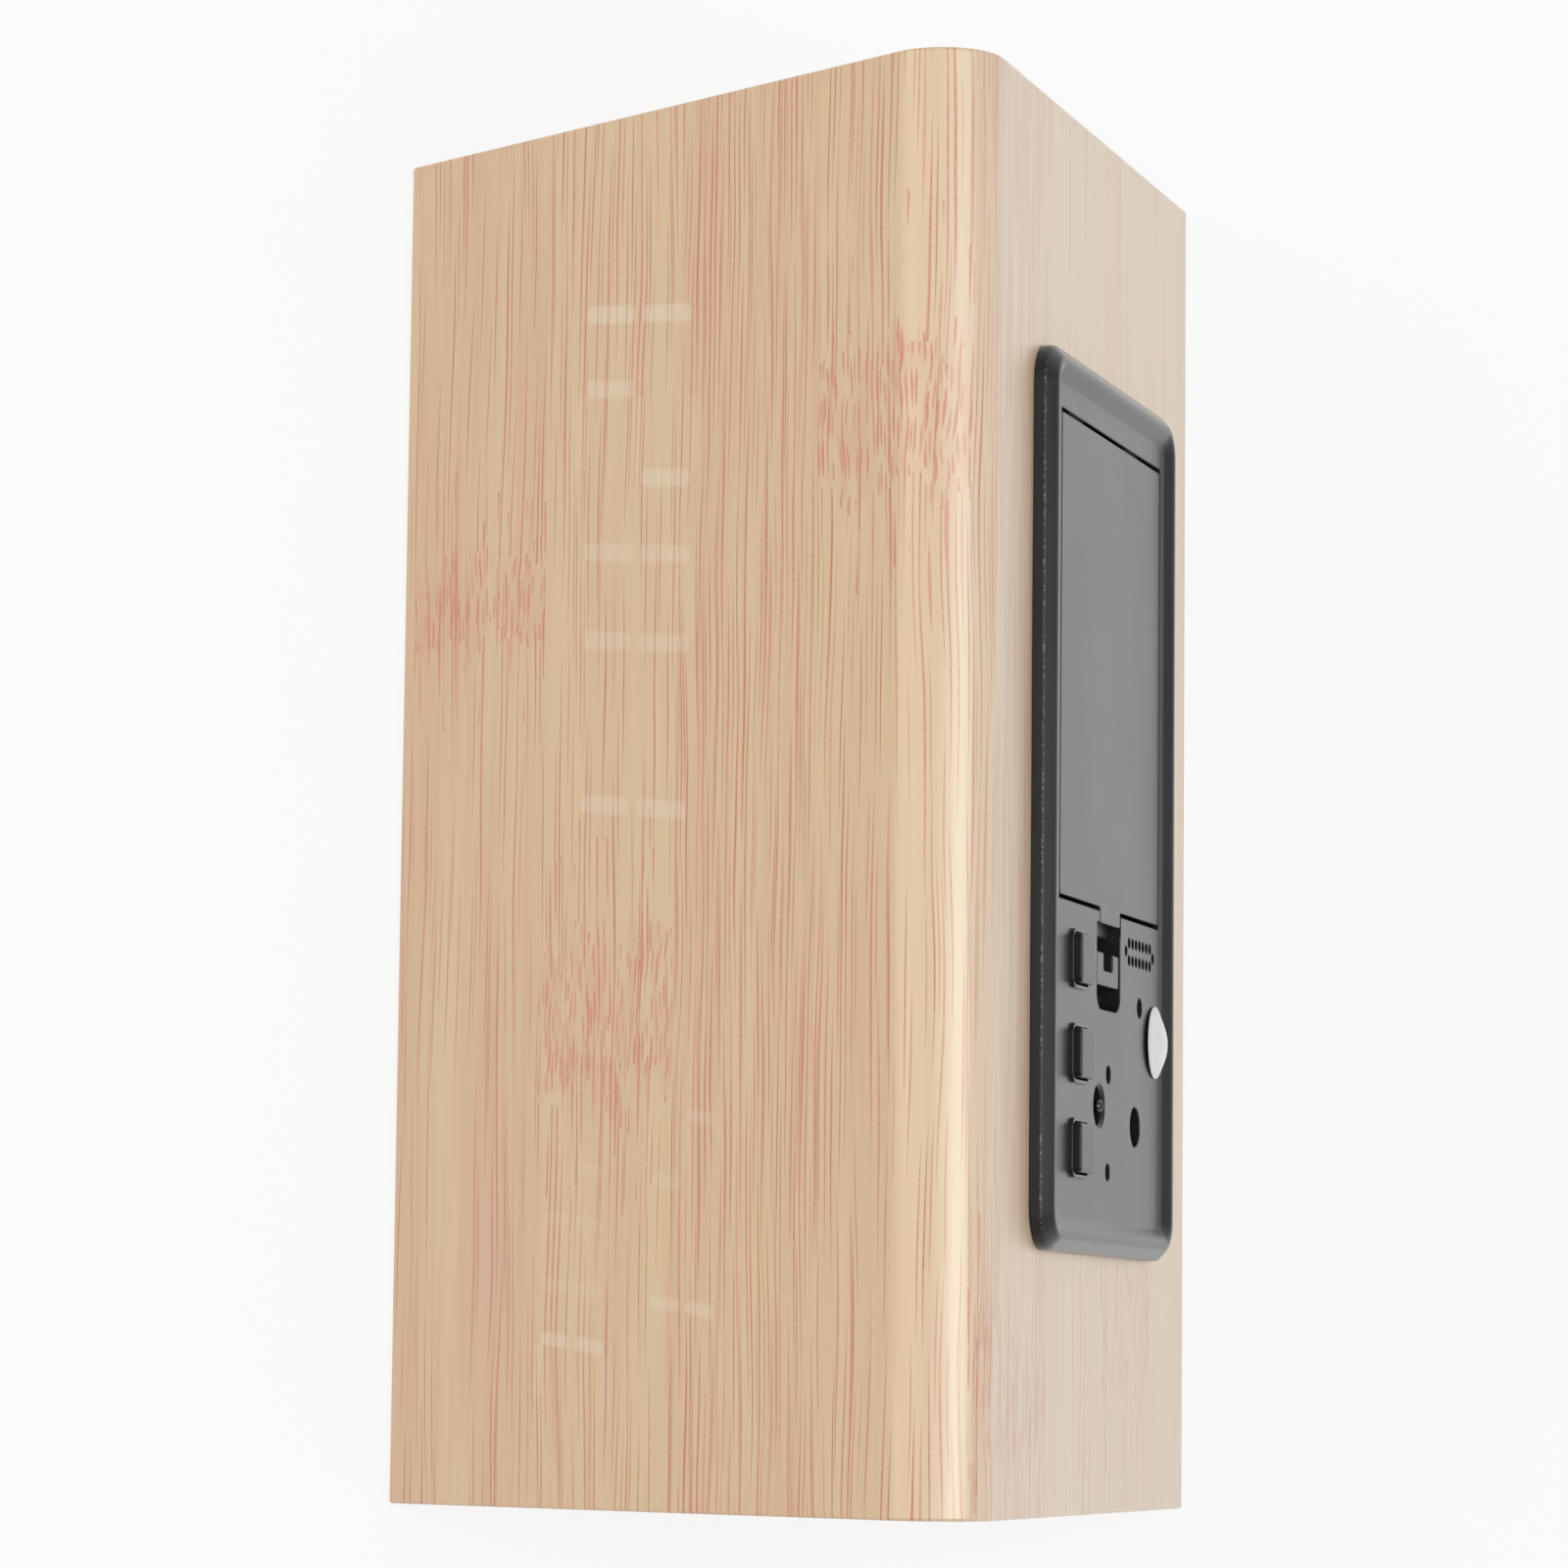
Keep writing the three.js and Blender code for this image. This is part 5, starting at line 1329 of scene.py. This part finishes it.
# %% Latch
PAD_X = (14.8, 18.4)
PAD_Y = (-4.55, 4.85)
PAD_NOTCH_X = 16.7
PAD_NOTCH_Y = (-1.5, 2.3)
PAD_TOP = 1.3
PAD_THICKNESS = 1.2
PAD_CORNER = 0.3
PAD_ROUNDING = 0.22
LEG_THICKNESS = 1
LEG_GAP = 0.1
NIB_REACH = 0.4
NIB_BOTTOM = -2.3
NIB_HEIGHT = 0.8
pad_under = PAD_TOP - PAD_THICKNESS
corners = [
    (PAD_X[0], PAD_Y[0]), (PAD_X[1], PAD_Y[0]), (PAD_X[1], PAD_Y[1]), (PAD_X[0], PAD_Y[1]),
    (PAD_X[0], PAD_NOTCH_Y[1]), (PAD_NOTCH_X, PAD_NOTCH_Y[1]),
    (PAD_NOTCH_X, PAD_NOTCH_Y[0]), (PAD_X[0], PAD_NOTCH_Y[0]),
]
latch, face = flat_outline(corners, pad_under)
face = round_corners(latch, latch.verts[:], PAD_CORNER, CORNER_STEPS)
latch = block((latch, face), PAD_THICKNESS, PAD_ROUNDING)
leg_foot = STRIP_CENTRE[1] + LEG_GAP
leg = rectangle(PAD_X[1] - LEG_THICKNESS, PAD_X[1], *STRIP_Y, leg_foot)
leg = block(leg, PAD_TOP - PAD_THICKNESS / 2 - leg_foot)
nib = rectangle(PAD_X[1] - OVERLAP, PAD_X[1] + NIB_REACH, *STRIP_Y, NIB_BOTTOM)
nib = block(nib, NIB_HEIGHT)
latch = combine("UNION", latch, [leg, nib])
settle(make_piece(latch, "thumb_latch", BACK, black_plastic), "latch", "black_plastic", "cover_latch")

# %% [markdown]
# ## Buttons
# Each button is a square cap that stands a little proud of its collar, with a lip below the floor that keeps
# it in, and a stem over its switch. The cap's top is slightly crowned, so that its rim catches the light.

# %% Buttons
BUTTON_TOP = 2.6
CROWN = 0.08
CROWN_RIM = 0.5
CAP_ROUNDING = 0.2
LIP_TOP = -0.9
LIP = 0.8
STEM_RADIUS = 1.4
STEM_SIDES = 24
STEM_END = -2.6
STEM_SINK = 0.2
lip_under = LIP_TOP - LIP
crown_foot = BUTTON_TOP - CROWN


def make_button(name, x):
    cap, face = button_outline(x, 0, lip_under)
    face = draw_out(cap, face, crown_foot - lip_under)
    step_in(cap, face, CROWN_RIM, CROWN)
    round_level(cap, crown_foot, CAP_ROUNDING, CORNER_STEPS)
    spread = 2 * (BUTTON_GAP + COLLAR_WALL)
    lip = block(centred(x, BUTTON_ROW, BUTTON_LENGTH + spread, BUTTON_WIDTH + spread, lip_under), LIP)
    stem = block(disc(x, BUTTON_ROW, STEM_RADIUS, STEM_END, STEM_SIDES), LIP_TOP - STEM_SINK - STEM_END)
    cap = combine("UNION", cap, [lip, stem])
    piece = make_piece(cap, name + "_cap", BACK, button_plastic)
    settle(piece, name + "_key", "black_plastic", name + "_button")


for button, button_x in BUTTONS.items():
    make_button(button, button_x)

# %% [markdown]
# ## Turned pieces
# The power inlet, its pin, the cells and the screw are round, so each is half an outline that is spun all the
# way round its axis. The spin merges its last step with its first, and the poles close by themselves.

# %% Spin a profile
TURN_STEPS = 40


def turned(profile, steps=TURN_STEPS):
    """Spins points, each a radius and a height, around the z axis."""
    bm = bmesh.new()
    verts = [bm.verts.new((radius, 0, z)) for radius, z in profile]
    for pair in zip(verts, verts[1:]):
        bm.edges.new(pair)
    line = bm.verts[:] + bm.edges[:]
    bmesh.ops.spin(bm, geom=line, cent=(0, 0, 0), axis=(0, 0, 1), angle=2 * pi, steps=steps, use_merge=True)
    bmesh.ops.remove_doubles(bm, verts=bm.verts, dist=NEAR / 10)
    return bm


def stood(x, y, z=0.0):
    """Placing of a turned piece that stands on the panel."""
    return BACK @ Matrix.Translation((x, y, z))


print("steps in a full turn:", TURN_STEPS)

# %% Power inlet
barrel_profile = [
    (0, -6.3), (2.0, -6.3), (2.15, -6.15), (2.15, -1.1), (2.35, -0.9), (3.0, -0.9), (3.0, -7.3), (0, -7.3),
]
barrel = make_piece(turned(barrel_profile), "inlet_barrel", stood(*INLET_SPOT), dark_plastic)
settle(barrel, "case", "dark_plastic", "dc_jack")
pin_profile = [
    (0, -6.0), (0.72, -6.0), (0.72, 1.2), (0.68, 1.42), (0.58, 1.6), (0.44, 1.7), (0.34, 1.66),
    (0.3, 1.55), (0.3, 0.6), (0, 0.5),
]
# The pin's dark nickel is painted shade for the hollow around it.
pin = make_piece(turned(pin_profile, 32), "inlet_pin", stood(*INLET_SPOT), nickel_with_painted_shade)
settle(pin, "case", "nickel", "dc_jack_pin")

# %% Screw with a cross recess
CROSS_LENGTH = 2.2
CROSS_WIDTH = 0.5
CROSS_TOP = -4.0
CROSS_DEPTH = 1.1
screw_profile = [
    (0, -4.3), (0.9, -4.33), (1.5, -4.5), (1.82, -4.8), (1.9, -5.1), (1.9, -5.7), (1.0, -5.7),
    (1.0, -8.1), (0, -9.1),
]
cross = []
for length, width in ((CROSS_LENGTH, CROSS_WIDTH), (CROSS_WIDTH, CROSS_LENGTH)):
    cross.append(block(centred(0, 0, length, width, CROSS_TOP), -CROSS_DEPTH))
head = combine("DIFFERENCE", turned(screw_profile), cross)
settle(make_piece(head, "panel_screw_head", stood(*SCREW_SPOT), steel), "case", "steel", "panel_screw")

# %% Cells
CELL_AXIS = -6.05
CELL_RADIUS = 5.25
CELL_LENGTH = 44.5
# Neighbours lie head to tail: 1 where a cell's flat end is on the left, and -1 where it is on the right.
CELL_FACINGS = (1, -1, 1, -1)
CELL_FLAT_ENDS = {1: -35.05, -1: 3.85}
SLEEVE_FROM = 4.5
BAND = (31, 36)
cell_profile = [
    (0, 0), (3.2, 0), (3.4, 0.25), (4.5, 0.25), (4.95, 0.15), (5.17, 0.3), (CELL_RADIUS, 0.6),
    (CELL_RADIUS, BAND[0]), (CELL_RADIUS, BAND[1]), (CELL_RADIUS, 42.9), (5.17, 43.3), (4.9, 43.5),
    (4.4, 43.3), (2.6, 43.3), (2.1, 43.4), (1.9, 43.7), (1.9, 44.2), (1.7, 44.45), (1.4, CELL_LENGTH),
    (0, CELL_LENGTH),
]
for number, (y, facing) in enumerate(zip(CELL_ROWS, CELL_FACINGS), start=1):
    cell = turned(cell_profile, 48)
    for face in cell.faces:
        middle = face.calc_center_median()
        is_sleeve = middle.xy.length > SLEEVE_FROM
        is_band = is_sleeve and BAND[0] < middle.z < BAND[1]
        face.material_index = 2 if is_band else 0 if is_sleeve else 1
    lying = Matrix.Rotation(facing * pi / 2, 4, "Y")
    placing = stood(CELL_FLAT_ENDS[facing], y, CELL_AXIS) @ lying
    piece = make_piece(cell, f"cell_{number}", placing, cell_sleeve, nickel, cell_band)
    settle(piece, "case", "cell_jacket", f"battery_{number}")

# %% [markdown]
# ## Battery springs
# Each cell is pressed by a conical spring of thin wire. A spring is a line with a round section, so a curve
# with a bevel makes it: its points climb a cone, and the curve is then turned into a mesh.

# %% Springs
SPRING_CURLS = 3.5
SPRING_WIRE = 0.7
SPRING_RADII = (3.2, 2.0)
SPRING_LENGTH = 5.3
SPRING_POINTS = 100
SPRING_WIDE_ENDS = {1: -40.65, -1: 9.45}


def make_spring(name, node, facing, y):
    curve = bpy.data.curves.new(name, "CURVE")
    curve.dimensions = "3D"
    curve.bevel_depth = SPRING_WIRE / 2
    curve.bevel_resolution = 3
    curve.use_fill_caps = True
    line = curve.splines.new("POLY")
    line.points.add(SPRING_POINTS)
    for step, point in enumerate(line.points):
        share = step / SPRING_POINTS
        angle = share * SPRING_CURLS * 2 * pi
        radius = SPRING_RADII[0] + (SPRING_RADII[1] - SPRING_RADII[0]) * share
        climb = SPRING_WIRE / 2 + share * (SPRING_LENGTH - SPRING_WIRE)
        x = SPRING_WIDE_ENDS[facing] + facing * climb
        point.co = (x, y + radius * cos(angle), CELL_AXIS + radius * sin(angle), 1)
    wire = bpy.data.objects.new(name, curve)
    bm = bmesh.new()
    bm.from_mesh(wire.to_mesh())
    bmesh.ops.remove_doubles(bm, verts=bm.verts, dist=NEAR)
    wire.to_mesh_clear()
    bpy.data.curves.remove(curve)
    settle(make_piece(bm, name, BACK, nickel), "case", "nickel", node)


for number, (y, facing) in enumerate(zip(CELL_ROWS, CELL_FACINGS), start=1):
    make_spring(f"cell_spring_{number}", f"battery_spring_{number}", facing, y)

# %% [markdown]
# ## Sticker
# A small round sticker of plain paper lies across the panel's floor and bends up the far slope of the rim,
# and its near edge has come loose. A disc is cut into narrow strips across the bend, and each row of points
# is lifted to the surface below it.

# %% Sticker
STICKER_SPOT = (23.2, 20.5)
STICKER_RADIUS = 4.0
STICKER_FOLD = 20.2
STICKER_LIFT = 0.08
STICKER_BEND = 1.6
STICKER_ROWS = 24
STICKER_SIDES = 72
STICKER_GAP = 0.03
PAPER = 0.12
slope_start = FLOOR_WIDTH / 2
slope_angle = atan2(RIM_TOP - FLOOR_TOP, INNER_SLOPE)


def on_the_slope(y):
    """Where a point of the flat sticker ends up: distance down the face, and height."""
    loose = max(0.0, STICKER_FOLD - y)
    bent = max(0.0, y - slope_start + STICKER_BEND / 2)
    bent = bent * bent / 2 / STICKER_BEND if bent < STICKER_BEND else bent - STICKER_BEND / 2
    height = FLOOR_TOP + STICKER_GAP + loose * STICKER_LIFT + bent * sin(slope_angle)
    return y - bent * (1 - cos(slope_angle)), height


sticker, face = disc(*STICKER_SPOT, STICKER_RADIUS, 0, STICKER_SIDES)
for row in range(1, STICKER_ROWS):
    y = STICKER_SPOT[1] - STICKER_RADIUS + 2 * STICKER_RADIUS * row / STICKER_ROWS
    slice_at(sticker, (0, y, 0), (0, 1, 0))
for vert in sticker.verts:
    vert.co.y, vert.co.z = on_the_slope(vert.co.y)
bmesh.ops.recalc_face_normals(sticker, faces=sticker.faces)
bmesh.ops.solidify(sticker, geom=sticker.faces[:], thickness=-PAPER)
settle(make_piece(sticker, "plain_sticker", BACK, sticker_paper), "case", "white_plastic")

# %% [markdown]
# ## Finishes for the rest
# The boards, switches, contacts and the other inner pieces keep their solid shapes. Each takes the finish of
# its own material slot.

# %% Finish the carried-over pieces
FINISHES = {
    "wood_film": base_finish,
    "fibreboard": pressed_fibre,
    "black_plastic": black_plastic,
    "dark_plastic": dark_plastic,
    "white_plastic": white_plastic,
    "milky_plastic": milky_plastic,
    "nickel": nickel,
    "steel": steel,
    "cell_jacket": cell_sleeve,
    "circuit_board": circuit_lacquer,
    "ribbon": ribbon_plastic,
}
for entry in frame["record"]["subparts"]:
    node = frame["nodes"][entry["node"]]
    for slot in node.material_slots:
        slot.material = FINISHES[entry["material_slot"]]
print("finishes in use:", len(FINISHES))

# %% [markdown]
# ## Floor and light
# The clock lies on a white sheet in a bright, even room. The floor is plain white, and for the camera and for
# reflections it glows, so that it reads as white. Near the clock it glows a little less, and keeps the
# clock's soft shadow. Three large soft lamps light the clock: one overhead gives the ridge its pale band,
# one stands behind the back, and one in front of the display.

# %% Floor
SHADOW_SHARE = 0.17
SHADOW_FADE = (0.16, 0.7)
FLOOR_HALF = 3000
FLOOR_DROP = 0.2
WHITE = (1, 1, 1, 1)


def seen_directly(tree, mirrored=1.0):
    """1 for rays from the camera or through glass, and the mirrored share for rays from a mirror."""
    path = Wire(tree, None).node("ShaderNodeLightPath", output="Is Camera Ray")
    rays = path.socket.node.outputs
    glossy = Wire(tree, rays["Is Glossy Ray"]) * mirrored
    clear = Wire(tree, rays["Is Transmission Ray"])
    return path.math("MAXIMUM", path, glossy.math("MAXIMUM", glossy, clear))


floor_finish, floor_shader, floor_place = new_finish("white_floor")
sheet_tone = noise(floor_place, scale=3, detail=2)
feed(floor_shader, "Base Color", mix(sheet_tone, paint(238, 238, 238), paint(242, 242, 242)))
feed(floor_shader, "Roughness", sheet_tone * 0.1 + 0.85)
glow = floor_place.node("ShaderNodeEmission", None, {"Color": WHITE, "Strength": 1.0})
floor_tree = floor_finish.node_tree
shader_out = Wire(floor_tree, floor_shader.outputs["BSDF"])
from_clock = glow.node("ShaderNodeVectorMath", {"operation": "LENGTH"}, {0: floor_place}, output="Value")
shadow_share = (1 - smooth(from_clock, *SHADOW_FADE)) * SHADOW_SHARE
glow_share = seen_directly(floor_tree) * (1 - shadow_share)
floor_mix = glow.node("ShaderNodeMixShader", None, {0: glow_share, 1: shader_out, 2: glow})
floor_tree.links.new(floor_mix.socket, floor_tree.nodes["Material Output"].inputs["Surface"])
floor_bm = bmesh.new()
bmesh.ops.create_grid(floor_bm, x_segments=1, y_segments=1, size=FLOOR_HALF)
floor = make_piece(floor_bm, "floor", UPRIGHT @ Matrix.Translation((0, 0, -FLOOR_DROP)), floor_finish)
print("floor is", 2 * FLOOR_HALF * MM, "m wide")

# %% World
ROOM_LIGHT = 0.24
HORIZON = (0.15, 0.6)
world = bpy.data.worlds.new("room")
scene.world = world
world.use_nodes = True
room = world.node_tree
room.nodes.clear()
direction = Wire(room, room.nodes.new("ShaderNodeTexCoord").outputs["Generated"])
start = seen_directly(room, 1 - smooth(part(direction, "Z"), *HORIZON))
dim = start.node("ShaderNodeBackground", None, {"Color": WHITE, "Strength": ROOM_LIGHT})
bright = start.node("ShaderNodeBackground", None, {"Color": WHITE, "Strength": 1.0})
room_mix = start.node("ShaderNodeMixShader", None, {0: start, 1: dim, 2: bright})
room_out = room.nodes.new("ShaderNodeOutputWorld")
room.links.new(room_mix.socket, room_out.inputs["Surface"])
print("room light:", ROOM_LIGHT)

# %% Soft lights
CLOCK_MIDDLE = Vector((0, 0, 0.04))


def soft_light(name, spot, size, power):
    """A square lamp that looks at the middle of the clock."""
    data = bpy.data.lights.new(name, "AREA")
    data.size = size
    data.energy = power
    lamp = bpy.data.objects.new(name, data)
    lamp.location = spot
    aim = CLOCK_MIDDLE - lamp.location
    lamp.rotation_mode = "QUATERNION"
    lamp.rotation_quaternion = aim.to_track_quat("-Z", "Y")
    scene.collection.objects.link(lamp)


soft_light("ceiling_light", Vector((0, 0.14, 1.3)), 1.15, 5.4)
soft_light("back_light", Vector((0.1, 0.7, 1.15)), 0.75, 5.6)
soft_light("front_light", Vector((-0.3, -1.3, 0.9)), 1.8, 12.3)
print("lamps:", len(bpy.data.lights))
